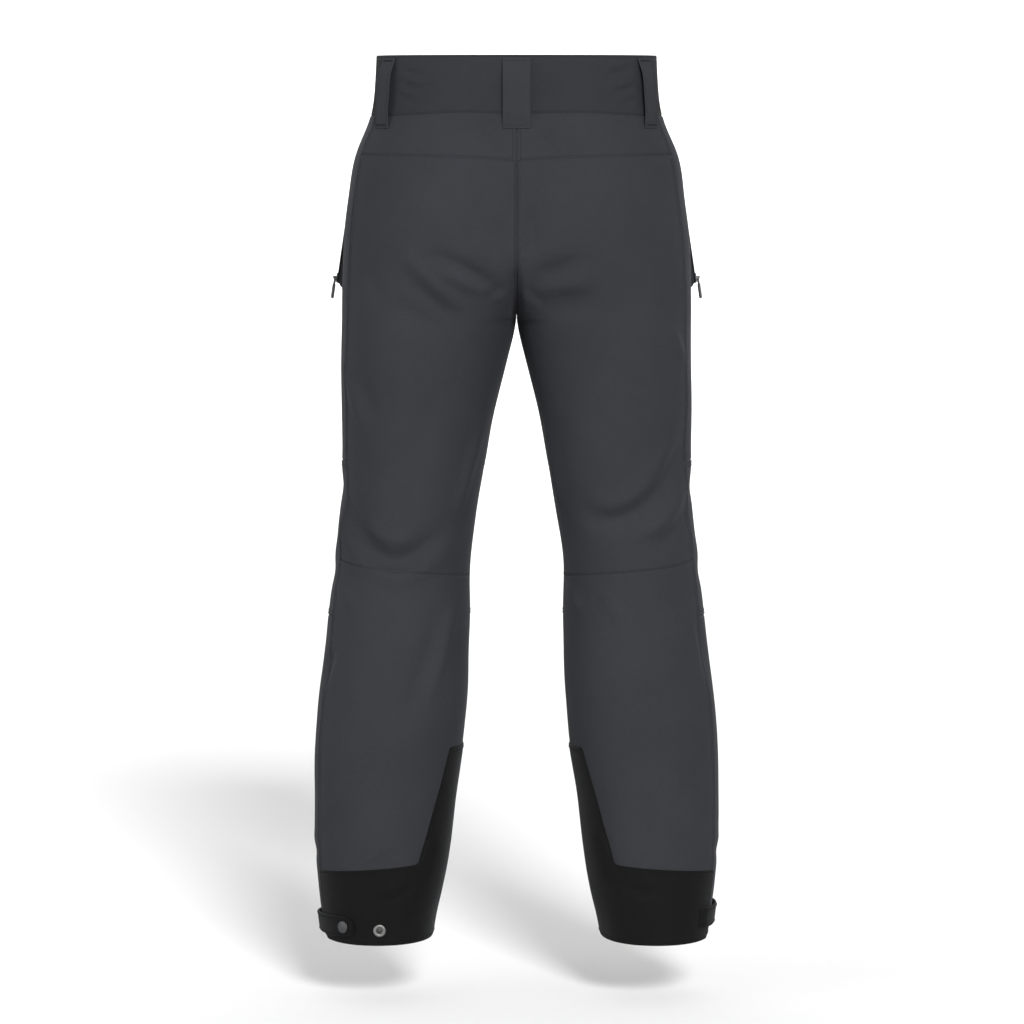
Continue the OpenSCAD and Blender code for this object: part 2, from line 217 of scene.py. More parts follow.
def read_profile():
    """Outer edge, inner edge, half depth and middle of a leg, and the same of the hips, by z."""
    tree = skin_tree(["left"])

    def hit(origin, aim):
        place = tree.ray_cast(Vector(origin), Vector(aim))[0]
        return np.nan if place is None else place.dot(Vector(aim))

    zs = np.linspace(hem_z + 0.5 * MM, top_z - 0.5 * MM, PROFILE_ROWS)
    rows = []
    for z in zs:
        outer = -hit((0.5, 0.006, z), (-1, 0, 0))
        inner = hit((0, 0.004, z), (1, 0, 0)) if z < crotch_z - 2 * MM else 0.0
        mid = (outer + inner) / 2
        rows.append((outer, inner, hit((mid, -0.5, z), (0, 1, 0)), -hit((mid, 0.5, z), (0, -1, 0)),
                     hit((0.004, -0.5, z), (0, 1, 0)), -hit((0.004, 0.5, z), (0, -1, 0))))
    table = np.array(rows)
    for column in table.T:
        seen = ~np.isnan(column)
        column[:] = np.interp(zs, zs[seen], column[seen])
    below, above = zs < crotch_z - 1 * MM, zs > crotch_z + SADDLE
    result = {"z": zs, "outer": table[:, 0], "inner": table[:, 1]}
    rise = zs[above]
    for name, front, back, part in (("leg", 2, 3, below), ("hip", 4, 5, above)):
        half = (table[part, back] - table[part, front]) / 2
        middle = (table[part, back] + table[part, front]) / 2
        if name == "leg":
            hip_half = np.interp(rise[0], rise, (table[above, 5] - table[above, 4]) / 2)
            known = np.append(zs[part], [rise[0], rise[0] + 0.05])
            half = np.append(half, [share * hip_half for share in LEG_AT_HIP])
            middle = np.append(middle, [middle[-1] + 2 * MM] * 2)
        else:
            known = np.append([crotch_z - 0.04], zs[part])
            half = np.append([half[0] - 12 * MM], half)
            middle = np.append([middle[0] - 2 * MM], middle)
        result[name + "_half"] = np.interp(zs, known, half)
        result[name + "_mid"] = np.interp(zs, known, middle)
    for name in set(result) - {"z"}:
        result[name] = soften(result[name], 1.6)
    result["inner"] = np.where(zs < crotch_z, result["inner"], 0.0)
    return result


profile = read_profile()


def read(name, z):
    return np.interp(z, profile["z"], profile[name])


def power(v, e):
    return np.sign(v) * np.abs(v) ** e


def leg_xy(f, z):
    outer, inner = read("outer", z), read("inner", z)
    x = (outer + inner) / 2 + (outer - inner) / 2 * power(np.cos(f), LEG_POWER)
    y = read("leg_mid", z) + read("leg_half", z) * power(np.sin(f), LEG_POWER)
    return np.stack([x, y], -1)


def hip_xy(p, z):
    x = read("outer", z) * power(np.cos(p), HIP_POWER)
    y = read("hip_mid", z) + read("hip_half", z) * power(np.sin(p), HIP_POWER)
    return np.stack([x, y], -1)


def skin_xy(f, z):
    """The left half at angle f: 0 is the outer side, 90 degrees the back, 180 the inside."""
    rise = np.clip((z - crotch_z) / SADDLE, 0, 1)
    steep = np.sqrt(1 - (1 - rise) ** 2)
    start = crotch_z - 0.03
    gentle = step_up(z, start, crotch_z + SADDLE)
    inside = step_up(np.abs(f), math.radians(120), math.radians(170))
    k = (steep * inside + gentle * (1 - inside))[..., None]
    half_angle = f * (5 - 2 * np.abs(f) / math.pi) / 6
    return (1 - k) * leg_xy(f, z) + k * hip_xy(half_angle, z)


def base_surface(f, z, ring):
    """Points and outward normals of the left half, or of the whole hip ring."""
    xy = hip_xy if ring else skin_xy
    step_f, step_z = math.radians(0.6), 1.5 * MM
    around = np.zeros(f.shape + (3,))
    around[..., :2] = xy(f + step_f, z) - xy(f - step_f, z)
    upward = np.zeros(f.shape + (3,))
    low, high = np.maximum(z - step_z, hem_z), np.minimum(z + step_z, top_z)
    upward[..., :2] = xy(f, high) - xy(f, low)
    upward[..., 2] = high - low
    normal = np.cross(around, upward)
    if not ring:
        from_middle = np.clip(np.abs(xy(f, z)[..., 0]) / 0.008, 0, 1)
        normal[..., 0] *= np.where(z > crotch_z, from_middle, 1.0)
    return np.concatenate([xy(f, z), z[..., None]], -1), unit(normal)


# ------------------------------------------------------------------ folds
FOLD_DEPTH = 1.35           # every crease is this many times as deep as its row says


class Crease:
    """A fold along a route of (x, height above the hem), in millimetres, on one face.

    depth is how far its valley goes in, or stands out where it is negative, wide is its half width,
    and lip is how far its upper side, on the left of the route, stands proud."""

    def __init__(self, face, route, depth, wide, lip=0.0, fade=0.35):
        points = np.array(route, float) * MM
        points[:, 1] += hem_z
        ends = np.vstack([2 * points[0] - points[1], points, 2 * points[-1] - points[-2]])
        path = []
        for i in range(1, len(ends) - 2):
            for t in np.linspace(0, 1, 8, endpoint=False):
                a, b, c, d = ends[i - 1], ends[i], ends[i + 1], ends[i + 2]
                path.append(0.5 * (2 * b + (c - a) * t + (2 * a - 5 * b + 4 * c - d) * t * t
                                   + (3 * b - a - 3 * c + d) * t ** 3))
        path.append(points[-1])
        self.path = np.array(path)
        self.face, self.wide, self.fade = face, wide * MM, fade
        self.depth, self.lip = FOLD_DEPTH * depth * MM, FOLD_DEPTH * lip * MM
        reach = 3.5 * self.wide
        self.box = (self.path.min(0) - reach, self.path.max(0) + reach)

    def push(self, across, z):
        """Displacement at places given by their coordinate across the face and their z."""
        place = np.stack([across, z], -1)
        near = np.all((place > self.box[0]) & (place < self.box[1]), -1)
        result = np.zeros(across.shape)
        if not near.any():
            return result
        q = place[near]
        best = np.full(len(q), 1e9)
        side, along = np.zeros(len(q)), np.zeros(len(q))
        a, d = self.path[:-1], np.diff(self.path, axis=0)
        for i in range(len(a)):
            rel = q - a[i]
            t = np.clip(rel @ d[i] / (d[i] @ d[i]), 0, 1)
            gap = rel - t[:, None] * d[i]
            far = np.hypot(gap[:, 0], gap[:, 1])
            closer = far < best
            best = np.where(closer, far, best)
            turn = np.sign(d[i][0] * rel[:, 1] - d[i][1] * rel[:, 0])
            side = np.where(closer, turn, side)
            along = np.where(closer, (i + t) / len(a), along)
        valley = -self.depth * bump_at(best, 0, self.wide)
        lip = self.lip * bump_at(best * side, 1.5 * self.wide, self.wide)
        result[near] = (valley + lip) * step_up(np.minimum(along, 1 - along), 0, self.fade)
        return result


# route, depth, half width, and where they matter the lip and the share that fades at both ends
BACK_CREASES = (
    # under the seat, on the wearer's left
    ([(150, 836), (120, 812), (88, 782), (60, 756)], -3.6, 9, 0, 0.4),
    ([(112, 818), (92, 820), (70, 812), (42, 796), (12, 780)], 4.2, 7, 2.6),
    ([(140, 808), (112, 780), (84, 758), (56, 742)], 3.0, 9, 0, 0.4),
    ([(170, 775), (130, 756), (90, 742), (46, 732)], 4.5, 20, 0, 0.4),
    ([(38, 768), (26, 780), (8, 783)], 2.8, 4, 1.6),
    ([(98, 802), (72, 794), (46, 776)], -2.4, 6),
    ([(186, 812), (170, 790), (160, 760)], 2.0, 9, 0, 0.4),
    ([(22, 872), (26, 842), (22, 806)], 2.6, 8, 0, 0.4),
    # under the seat, on the wearer's right
    ([(-8, 786), (-20, 776), (-36, 758)], 2.6, 4.5, 1.4),
    ([(-14, 884), (-18, 850), (-20, 812)], 3.6, 9, 0, 0.4),
    ([(-14, 798), (-50, 806), (-92, 826)], 3.4, 11, 1.8, 0.4),
    ([(-20, 770), (-60, 762), (-112, 780)], 3.8, 18, 0, 0.4),
    ([(-40, 790), (-70, 786), (-100, 796)], -1.8, 8, 0, 0.4),
    # the seat's middle runs in to the crotch
    ([(1, 815), (1, 785), (0, 752), (0, 740)], 4.5, 7, 0, 0.3),
    # the waistband is drawn in beside the side belt loops
    ([(141, 1044), (124, 1036), (100, 1033)], 2.0, 3.8, 1.0, 0.45),
    ([(142, 1030), (126, 1020), (104, 1014)], 2.1, 3.6, 1.1, 0.45),
    ([(144, 1014), (130, 1006), (112, 1000)], 1.8, 3.4, 0.9, 0.45),
    ([(-141, 1042), (-120, 1038), (-98, 1034)], 2.0, 3.8, 1.0, 0.45),
    ([(-143, 1026), (-128, 1018), (-108, 1013)], 2.1, 3.6, 1.1, 0.45),
    ([(-144, 1010), (-132, 1004), (-116, 1001)], 1.8, 3.4, 0.9, 0.45),
    # the yoke, below the ends of the middle belt loop
    ([(24, 982), (38, 972), (54, 960)], 2.2, 7, 1.0, 0.4),
    ([(-20, 980), (-38, 966), (-56, 950)], 2.2, 7, 1.0, 0.4),
    # behind the left knee
    ([(208, 574), (198, 520), (174, 476), (142, 458), (106, 478), (70, 516)], 5.4, 12, 3.0),
    ([(192, 520), (168, 492), (138, 484), (108, 500)], -2.8, 10),
    ([(204, 500), (188, 474), (160, 458)], 3.0, 7),
    # behind the right knee
    ([(-208, 645), (-196, 590), (-172, 545), (-134, 514), (-96, 510), (-62, 536)], 5.2, 12, 3.0),
    ([(-208, 566), (-190, 528), (-166, 500), (-130, 484)], -3.6, 8, 0, 0.4),
    ([(-208, 524), (-190, 492), (-158, 470)], 3.4, 9),
    # long drag lines inside and outside the thighs
    ([(34, 645), (50, 590), (62, 545), (73, 500)], -3.0, 6, 0, 0.4),
    ([(-29, 645), (-40, 590), (-50, 540), (-60, 488)], -3.0, 6, 0, 0.4),
    ([(208, 704), (195, 655), (180, 608)], -2.8, 6, 0, 0.4),
    ([(-174, 750), (-190, 718), (-204, 680)], -2.6, 6, 0, 0.4),
    ([(190, 690), (176, 650), (164, 615)], 2.0, 8, 0, 0.4),
    ([(-120, 700), (-140, 650), (-150, 600)], 1.6, 16, 0, 0.4),
    ([(90, 680), (104, 630), (112, 575)], 1.6, 16, 0, 0.4),
    # calves
    ([(66, 432), (80, 384), (92, 335), (108, 284)], -3.4, 8, 0, 0.4),
    ([(84, 420), (104, 350), (124, 290), (142, 240)], 3.0, 13, 0, 0.4),
    ([(214, 434), (204, 416), (190, 400)], -2.2, 6),
    ([(-60, 434), (-68, 412), (-80, 392)], -2.2, 6),
    ([(-100, 424), (-114, 404), (-130, 386)], -1.8, 8),
    ([(-146, 210), (-147, 150), (-148, 92)], 1.8, 12, 0, 0.4),
    ([(-212, 404), (-226, 350), (-235, 296)], 3.0, 6, 0, 0.4),
    ([(216, 356), (226, 330), (233, 300)], 3.0, 6, 1.4),
    ([(150, 128), (165, 112), (178, 100)], -1.6, 7),
    # cuffs
    ([(118, 78), (140, 60), (172, 52)], 1.8, 6, 1.0),
    ([(-110, 84), (-140, 66), (-178, 60)], 1.8, 6, 1.0),
    ([(98, 132), (108, 100), (122, 68)], 2.2, 7),
    ([(-98, 142), (-108, 104), (-124, 64)], 2.2, 7),
)
# the face, and then the same; each of them is there twice, mirrored across its face
PAIRED_CREASES = (
    # hips and crotch from the front
    ("front", [(8, 800), (50, 812), (96, 836), (140, 862)], 3.4, 8, 2.0, 0.4),
    ("front", [(8, 776), (48, 774), (92, 786), (140, 806)], 4.0, 8, 2.4, 0.4),
    ("front", [(14, 752), (50, 738), (92, 742), (130, 756)], 3.4, 10, 1.8, 0.4),
    ("front", [(26, 712), (60, 690), (100, 686)], 2.6, 10, 0, 0.4),
    # in front of the knees, and where the cuff breaks over the boot
    ("front", [(70, 560), (100, 545), (140, 548), (176, 562)], 2.4, 9, 1.4, 0.4),
    ("front", [(76, 400), (108, 388), (150, 392), (190, 410)], 3.8, 10, 2.0, 0.4),
    ("front", [(92, 360), (130, 350), (176, 362)], 2.2, 12, 0, 0.4),
    ("front", [(110, 128), (146, 112), (190, 122)], 4.0, 9, 2.0, 0.4),
    ("front", [(120, 86), (156, 74), (196, 84)], 2.8, 9, 1.4, 0.4),
    ("front", [(176, 520), (168, 450), (176, 400)], 1.8, 12, 0, 0.4),
    # the outer side
    ("side", [(-60, 566), (-20, 552), (30, 528), (70, 512)], 0.7, 14, 0.3, 0.4),
    ("side", [(-50, 424), (0, 440), (50, 468), (80, 492)], 0.7, 14, 0.3, 0.4),
    ("side", [(-60, 118), (-20, 104), (30, 110)], 0.8, 9, 0.4, 0.4),
)
CREASES = [Crease("back", *row) for row in BACK_CREASES]
for face, route, *rest in PAIRED_CREASES:
    CREASES += [Crease(face, route, *rest),
                Crease(face, [(-x, h) for x, h in route[::-1]], *rest)]


def folds(point, normal, q):
    """How far the fabric stands out of the skin at each point of side q."""
    x, y, z = point[..., 0] * q, point[..., 1], point[..., 2]
    faces = {"back": (np.clip(normal[..., 1] / 0.35, 0, 1), x),
             "front": (np.clip(-normal[..., 1] / 0.35, 0, 1), x),
             "side": (np.clip(normal[..., 0] / 0.5 - 0.4, 0, 1), y)}
    total = np.zeros(x.shape)
    for crease in CREASES:
        share, across = faces[crease.face]
        total += share * crease.push(across, z)
    broad = (np.sin(31 * z + 9 * x + 1.3 * q) * np.sin(37 * x + 13 * y - 8 * z + 0.7 * q)
             + 0.6 * np.sin(67 * z - 23 * y + 2.1 * q) * np.sin(41 * y + 29 * x))
    calm = np.clip((band_z - z) / 0.05, 0, 1) * np.clip(np.abs(x) / 0.03, 0, 1)
    return total + 0.55 * MM * broad * calm


# ------------------------------------------------------------------ materials
def node_material(name):
    material = bpy.data.materials.new(name)
    material.use_nodes = True
    tree = material.node_tree
    shader = tree.nodes["Principled BSDF"]

    def make(kind, **values):
        node = tree.nodes.new(kind)
        for key, value in values.items():
            if hasattr(node, key):
                setattr(node, key, value)
            else:
                node.inputs[key.replace("_", " ")].default_value = value
        return node

    def link(a, b):
        tree.links.new(a, b)

    def ramp(value, low, high, start, end):
        node = make("ShaderNodeMapRange", From_Min=start, From_Max=end, To_Min=low, To_Max=high)
        link(value, node.inputs["Value"])
        return node.outputs["Result"]

    return material, shader, make, link, ramp


def fabric(name, color, rough=0.85, thread=0.9, weave=0.22, mottle=0.07, sheen=0.02, dark=None,
           rib=0.0):
    """Woven cloth. thread is the spacing of the threads in millimetres, over the UV map in metres.

    Below the two heights of dark, where they are given, it fades to black."""
    material, shader, make, link, ramp = node_material(name)
    uv = make("ShaderNodeTexCoord")
    solid = make("ShaderNodeTexCoord")
    scale = math.pi / (thread * MM)
    split = make("ShaderNodeSeparateXYZ")
    link(uv.outputs["UV"], split.inputs[0])

    def calc(kind, *values):
        node = make("ShaderNodeMath", operation=kind)
        for i, value in enumerate(values):
            if isinstance(value, (int, float)):
                node.inputs[i].default_value = value
            else:
                link(value, node.inputs[i])
        return node.outputs[0]

    warp = calc("SINE", calc("MULTIPLY", split.outputs["X"], scale))
    weft = calc("SINE", calc("MULTIPLY", split.outputs["Y"], scale))
    threads = calc("ABSOLUTE", calc("MULTIPLY", warp, weft))
    stretch = make("ShaderNodeMapping", Scale=(90, 700, 1))
    link(uv.outputs["UV"], stretch.inputs["Vector"])
    slub = make("ShaderNodeTexNoise", Scale=1.0, Detail=3.0, Roughness=0.6)
    link(stretch.outputs[0], slub.inputs["Vector"])
    broad = make("ShaderNodeTexNoise", Scale=9.0, Detail=4.0, Roughness=0.55)
    heather = make("ShaderNodeTexNoise", Scale=900.0, Detail=2.0)
    for noise in (broad, heather):
        link(solid.outputs["Object"], noise.inputs["Vector"])
    shade = calc("ADD", ramp(broad.outputs["Fac"], -mottle, mottle, 0.3, 0.7),
                 ramp(slub.outputs["Fac"], -1.3 * mottle, 1.3 * mottle, 0.25, 0.75))
    shade = calc("ADD", shade, ramp(heather.outputs["Fac"], -2 * mottle, 2 * mottle, 0.25, 0.75))
    shade = calc("ADD", shade, ramp(threads, -0.5 * weave, 0.3 * weave, 0, 1))
    light = make("ShaderNodeMix", data_type="RGBA", blend_type="MULTIPLY")
    light.inputs["Factor"].default_value = 1.0
    light.inputs["A"].default_value = (*color, 1)
    tone = calc("ADD", shade, 1.0)
    combine = make("ShaderNodeCombineXYZ")
    for axis in "XYZ":
        link(tone, combine.inputs[axis])
    link(combine.outputs[0], light.inputs["B"])
    result = light.outputs["Result"]
    if dark is not None:
        low = make("ShaderNodeSeparateXYZ")
        link(solid.outputs["Object"], low.inputs[0])
        cover = ramp(low.outputs["Z"], 1.0, 0.0, *dark)
        fade = make("ShaderNodeMix", data_type="RGBA")
        link(cover, fade.inputs["Factor"])
        link(result, fade.inputs["A"])
        fade.inputs["B"].default_value = (0.010, 0.010, 0.010, 1)
        result = fade.outputs["Result"]
    link(result, shader.inputs["Base Color"])
    link(ramp(slub.outputs["Fac"], rough - 0.06, rough + 0.06, 0.3, 0.7),
         shader.inputs["Roughness"])
    height = calc("ADD", calc("MULTIPLY", threads, weave),
                  calc("MULTIPLY", slub.outputs["Fac"], 0.5))
    if rib:
        height = calc("ADD", height, calc("SINE", calc("MULTIPLY", split.outputs["X"], rib)))
    bump = make("ShaderNodeBump", Strength=0.35, Distance=0.0002)
    link(height, bump.inputs["Height"])
    link(bump.outputs[0], shader.inputs["Normal"])
    shader.inputs["Specular IOR Level"].default_value = 0.08
    shader.inputs["Sheen Weight"].default_value = sheen
    shader.inputs["Sheen Roughness"].default_value = 0.45
    shader.inputs["Sheen Tint"].default_value = (0.75, 0.78, 0.85, 1)
    return material


def hard(name, color, metallic=0.0, rough=0.4, grain=260.0, wear=0.25, brushed=1.0, gloss=0.5):
    """Metal or moulded plastic with a fine grain, its tone a little lighter and darker at random.
    """
    material, shader, make, link, ramp = node_material(name)
    solid = make("ShaderNodeTexCoord")
    stretch = make("ShaderNodeMapping", Scale=(grain, grain, grain * brushed))
    link(solid.outputs["Object"], stretch.inputs["Vector"])
    noise = make("ShaderNodeTexNoise", Scale=3.0, Detail=4.0, Roughness=0.6)
    link(stretch.outputs[0], noise.inputs["Vector"])
    tone = make("ShaderNodeMix", data_type="RGBA")
    tone.inputs["A"].default_value = (*[c * (1 - wear) for c in color], 1)
    tone.inputs["B"].default_value = (*[min(1, c * (1 + wear)) for c in color], 1)
    link(ramp(noise.outputs["Fac"], 0, 1, 0.3, 0.7), tone.inputs["Factor"])
    link(tone.outputs["Result"], shader.inputs["Base Color"])
    link(ramp(noise.outputs["Fac"], rough - 0.08, rough + 0.1, 0.3, 0.7),
         shader.inputs["Roughness"])
    bump = make("ShaderNodeBump", Strength=0.2, Distance=0.0001)
    link(noise.outputs["Fac"], bump.inputs["Height"])
    link(bump.outputs[0], shader.inputs["Normal"])
    shader.inputs["Metallic"].default_value = metallic
    shader.inputs["Specular IOR Level"].default_value = gloss
    return material


SHELL = fabric("shell_cloth", (0.0177, 0.0183, 0.0214))
INSIDE = fabric("backing_cloth", (0.014, 0.0145, 0.016), rough=0.9, thread=1.4)
# The waistband is the shell cloth made darker, as painted shade: the upright gathered band takes
# less light than the seat.
BAND_PAINTED_SHADE = fabric("band_cloth", (0.0155, 0.0161, 0.0184))
THREAD = hard("thread", (0.0135, 0.0140, 0.0160), rough=0.8, grain=1500, wear=0.3, gloss=0.1)
BLACK_THREAD = hard("black_thread", (0.0026, 0.0026, 0.0026), rough=0.8, grain=1500, wear=0.3,
                    gloss=0.1)
GUARD = fabric("guard_cloth", (0.0029, 0.0029, 0.0028), thread=1.3, weave=0.4,
               sheen=0.03, mottle=0.14)
LINING = fabric("brushed_lining", (0.012, 0.0125, 0.014), rough=0.95, thread=1.6, weave=0.5,
                sheen=0.2, mottle=0.16)
GAITER = fabric("gaiter_cloth", (0.008, 0.008, 0.0085), rough=0.6, thread=0.6)
ELASTIC = fabric("elastic_cloth", (0.005, 0.005, 0.005), thread=1.1, weave=0.6, rib=2400.0)
INSERT = fabric("insert_cloth", (0.0155, 0.0160, 0.0180), weave=0.4,
                dark=(band_z + 10 * MM, band_z + 20 * MM))
TAPE = fabric("tape_cloth", (0.005, 0.005, 0.005), rough=0.75, thread=0.8, weave=0.6)
TEETH = hard("coil_plastic", (0.011, 0.011, 0.011), rough=0.35, grain=600)
SLIDER = hard("slider_metal", (0.03, 0.03, 0.031), metallic=0.7, rough=0.35)
PULL = hard("pull_rubber", (0.009, 0.009, 0.009), rough=0.55, grain=900)
STEEL = hard("ring_metal", (0.095, 0.095, 0.093), metallic=0.6, rough=0.42, brushed=0.2)
CAP = hard("cap_metal", (0.030, 0.031, 0.033), metallic=0.5, rough=0.42, brushed=0.2)
DARK = hard("socket_plastic", (0.006, 0.006, 0.006), rough=0.6)


# ------------------------------------------------------------------ sheets of cloth
EDGE_MARKS = [0, 0.5, 1.1, 1.9, 2.5, 3.1, 4.5, 5.9, 6.5, 7.1, 8.2, 9.6]


def marks(length, pitch, dense_low=True, dense_high=True):
    """Places along an edge of that length in millimetres, closer together near its seams."""
    low = list(EDGE_MARKS) if dense_low else [0.0]
    high = [length - m for m in EDGE_MARKS[::-1]] if dense_high else [length]
    start, end = low[-1], high[0]
    count = max(1, round((end - start) / pitch))
    middle = [start + (end - start) * i / count for i in range(1, count)]
    return np.array(low + middle + high)


def relief(style, d):
    """Height of the cloth at d millimetres from an edge."""
    groove = -0.8 * bump_at(d, 0, 1.2)
    if style == "plain":
        return groove
    if style == "twin":
        return groove + 0.5 * bump_at(d, 2.2, 1.1) - 0.3 * bump_at(d, 3.9, 0.6)
    if style == "felled":
        raised = 0.3 * step_up(d, 0.3, 1.6) * (1 - step_up(d, 7.2, 9))
        return groove + raised - 0.25 * bump_at(d, 2.5, 0.6) - 0.25 * bump_at(d, 6.5, 0.6)
    if style == "single":
        return groove + 0.3 * step_up(d, 0.3, 1.2) * (1 - step_up(d, 3, 5)) \
            - 0.3 * bump_at(d, 2.5, 0.6)
    if style == "fold":
        return -0.5 * bump_at(d, 0, 1.0) - 0.3 * bump_at(d, 2.5, 0.6)
    return np.zeros_like(d)


STITCH_AT = {"twin": [3.9], "felled": [2.5, 6.5], "single": [2.5], "fold": [2.5]}


def stitches(path, normal, pitch=3.7, length=2.9, radius=0.33, lift=0.12):
    """Raised thread stitches along a path. Returns their points and faces."""
    walk = walk_along(path)
    count = int((walk[-1] / MM - 2) / pitch)
    if count < 1:
        return np.zeros((0, 3)), []
    starts = (1 + pitch * np.arange(count)) * MM
    offsets = np.array([0, 0.16, 0.5, 0.84, 1]) * length * MM
    thick = np.array([0.25, 0.85, 1.0, 0.85, 0.25]) * radius * MM
    rise = np.array([-0.5, 0.5, 1.0, 0.5, -0.5]) * radius * MM
    at = starts[:, None] + offsets[None]

    def along(values):
        return np.stack([np.interp(at, walk, values[:, k]) for k in range(3)], -1)

    centers, normals = along(path), unit(along(normal))
    heading = unit(centers[:, -1] - centers[:, 0])
    across = np.cross(heading[:, None], normals)
    centers = centers + normals * (rise[None, :, None] + lift * MM)
    turns = np.radians(np.arange(0, 360, 60))
    ring = (np.cos(turns)[None, None, :, None] * across[:, :, None]
            + 0.8 * np.sin(turns)[None, None, :, None] * normals[:, :, None])
    verts = centers[:, :, None] + ring * thick[None, :, None, None]
    faces = []
    for s in range(count):
        base = s * 30
        for j in range(4):
            for i in range(6):
                a, b = base + 6 * j + i, base + 6 * j + (i + 1) % 6
                faces.append((b, a, a + 6, b + 6))
        faces.append(tuple(base + i for i in range(6)))
        faces.append(tuple(base + 24 + i for i in range(5, -1, -1)))
    return verts.reshape(-1, 3), faces


class Cloth:
    """One piece's mesh, gathered from grids and stitches, and then made into an object."""

    def __init__(self, name):
        self.name = name
        self.verts, self.faces, self.slots, self.uvs, self.sharp = [], [], [], [], []
        self.count = 0

    def add(self, verts, faces, slot, uv=None, flip=False):
        """Adds a mesh in one of the materials, and returns the index of its first point."""
        verts = np.asarray(verts, float).reshape(-1, 3)
        base = self.count
        self.verts.append(verts)
        self.uvs.append(np.zeros((len(verts), 2)) if uv is None else uv.reshape(-1, 2))
        for face in faces:
            order = face[::-1] if flip else face
            self.faces.append([base + i for i in order])
            self.slots.append(slot)
        self.count += len(verts)
        return base

    def sheet(self, outer, inner, uv, flip, slots=(0, 1), closed=False):
        """A sheet between two grids of points, with its four rims, or with two if it is closed."""
        rows, cols = outer.shape[:2]
        index = np.arange(rows * cols).reshape(rows, cols)
        right = np.roll(index, -1, 1) if closed else index[:, 1:]
        left = index if closed else index[:, :-1]
        quads = np.stack([left[:-1], right[:-1], right[1:], left[1:]], -1).reshape(-1, 4)
        front = self.add(outer, quads.tolist(), slots[0], uv, flip)
        back = self.add(inner, quads[:, ::-1].tolist(), slots[1], uv, flip)
        rims = [(left[0], right[0], True), (left[-1], right[-1], False)]
        if not closed:
            rims += [(index[:-1, 0], index[1:, 0], False), (index[:-1, -1], index[1:, -1], True)]
        for a, b, turn in rims:
            for i, j in zip(a.ravel().tolist(), b.ravel().tolist()):
                face = [front + i, back + i, back + j, front + j]
                if turn != flip:
                    face = face[::-1]
                self.faces.append(face[::-1])
                self.slots.append(slots[0])
                self.sharp.append((front + i, front + j))
                self.sharp.append((back + i, back + j))

    def build(self, materials, finish=None):
        """The object with those materials; finish is not used."""
        verts = np.concatenate(self.verts)
        mesh = bpy.data.meshes.new(self.name)
        mesh.from_pydata(verts.tolist(), [], self.faces)
        mesh.polygons.foreach_set("material_index", self.slots)
        mesh.polygons.foreach_set("use_smooth", [True] * len(self.faces))
        uv = np.concatenate(self.uvs)
        layer = mesh.uv_layers.new(name="cloth")
        corner = np.zeros(len(mesh.loops), np.int32)
        mesh.loops.foreach_get("vertex_index", corner)
        layer.data.foreach_set("uv", uv[corner].ravel())
        if self.sharp:
            keys = {tuple(sorted(edge)) for edge in self.sharp}
            marks_on = [tuple(sorted(e.vertices)) in keys for e in mesh.edges]
            attribute = mesh.attributes.new("sharp_edge", "BOOLEAN", "EDGE")
            attribute.data.foreach_set("value", marks_on)
        for material in materials:
            mesh.materials.append(material)
        mesh.update()
        item = add_object(self.name, mesh)
        return item


def grid_normals(points):
    across = np.gradient(points, axis=1)
    return unit(np.cross(across, np.gradient(points, axis=0)))


def lay(angles, zs, q, ring=False, off=0.0, extra=None, fold=True):
    """Points, base normals and fold heights of a grid of angles in degrees and heights z."""
    f = np.radians(angles)
    point, normal = base_surface(f, zs, ring)
    height = np.full(f.shape, off * MM)
    if fold:
        height = height + folds(point, normal, 1 if ring else q)
    if extra is not None:
        height = height + extra
    return point, normal, height


def turn_side(points, q, ring):
    """Points of the left half, kept on its own side of the middle and mirrored to side q."""
    result = points.copy()
    if not ring:
        result[..., 0] = np.maximum(result[..., 0], 0.0)
    result[..., 0] *= q
    return result


def walk_over(point, axis):
    """Distance in millimetres along an axis of a grid, from its first line."""
    gaps = np.linalg.norm(np.diff(point, axis=axis), axis=-1)
    first = np.zeros_like(np.take(gaps, [0], axis))
    return np.concatenate([first, np.cumsum(gaps, axis)], axis) / MM


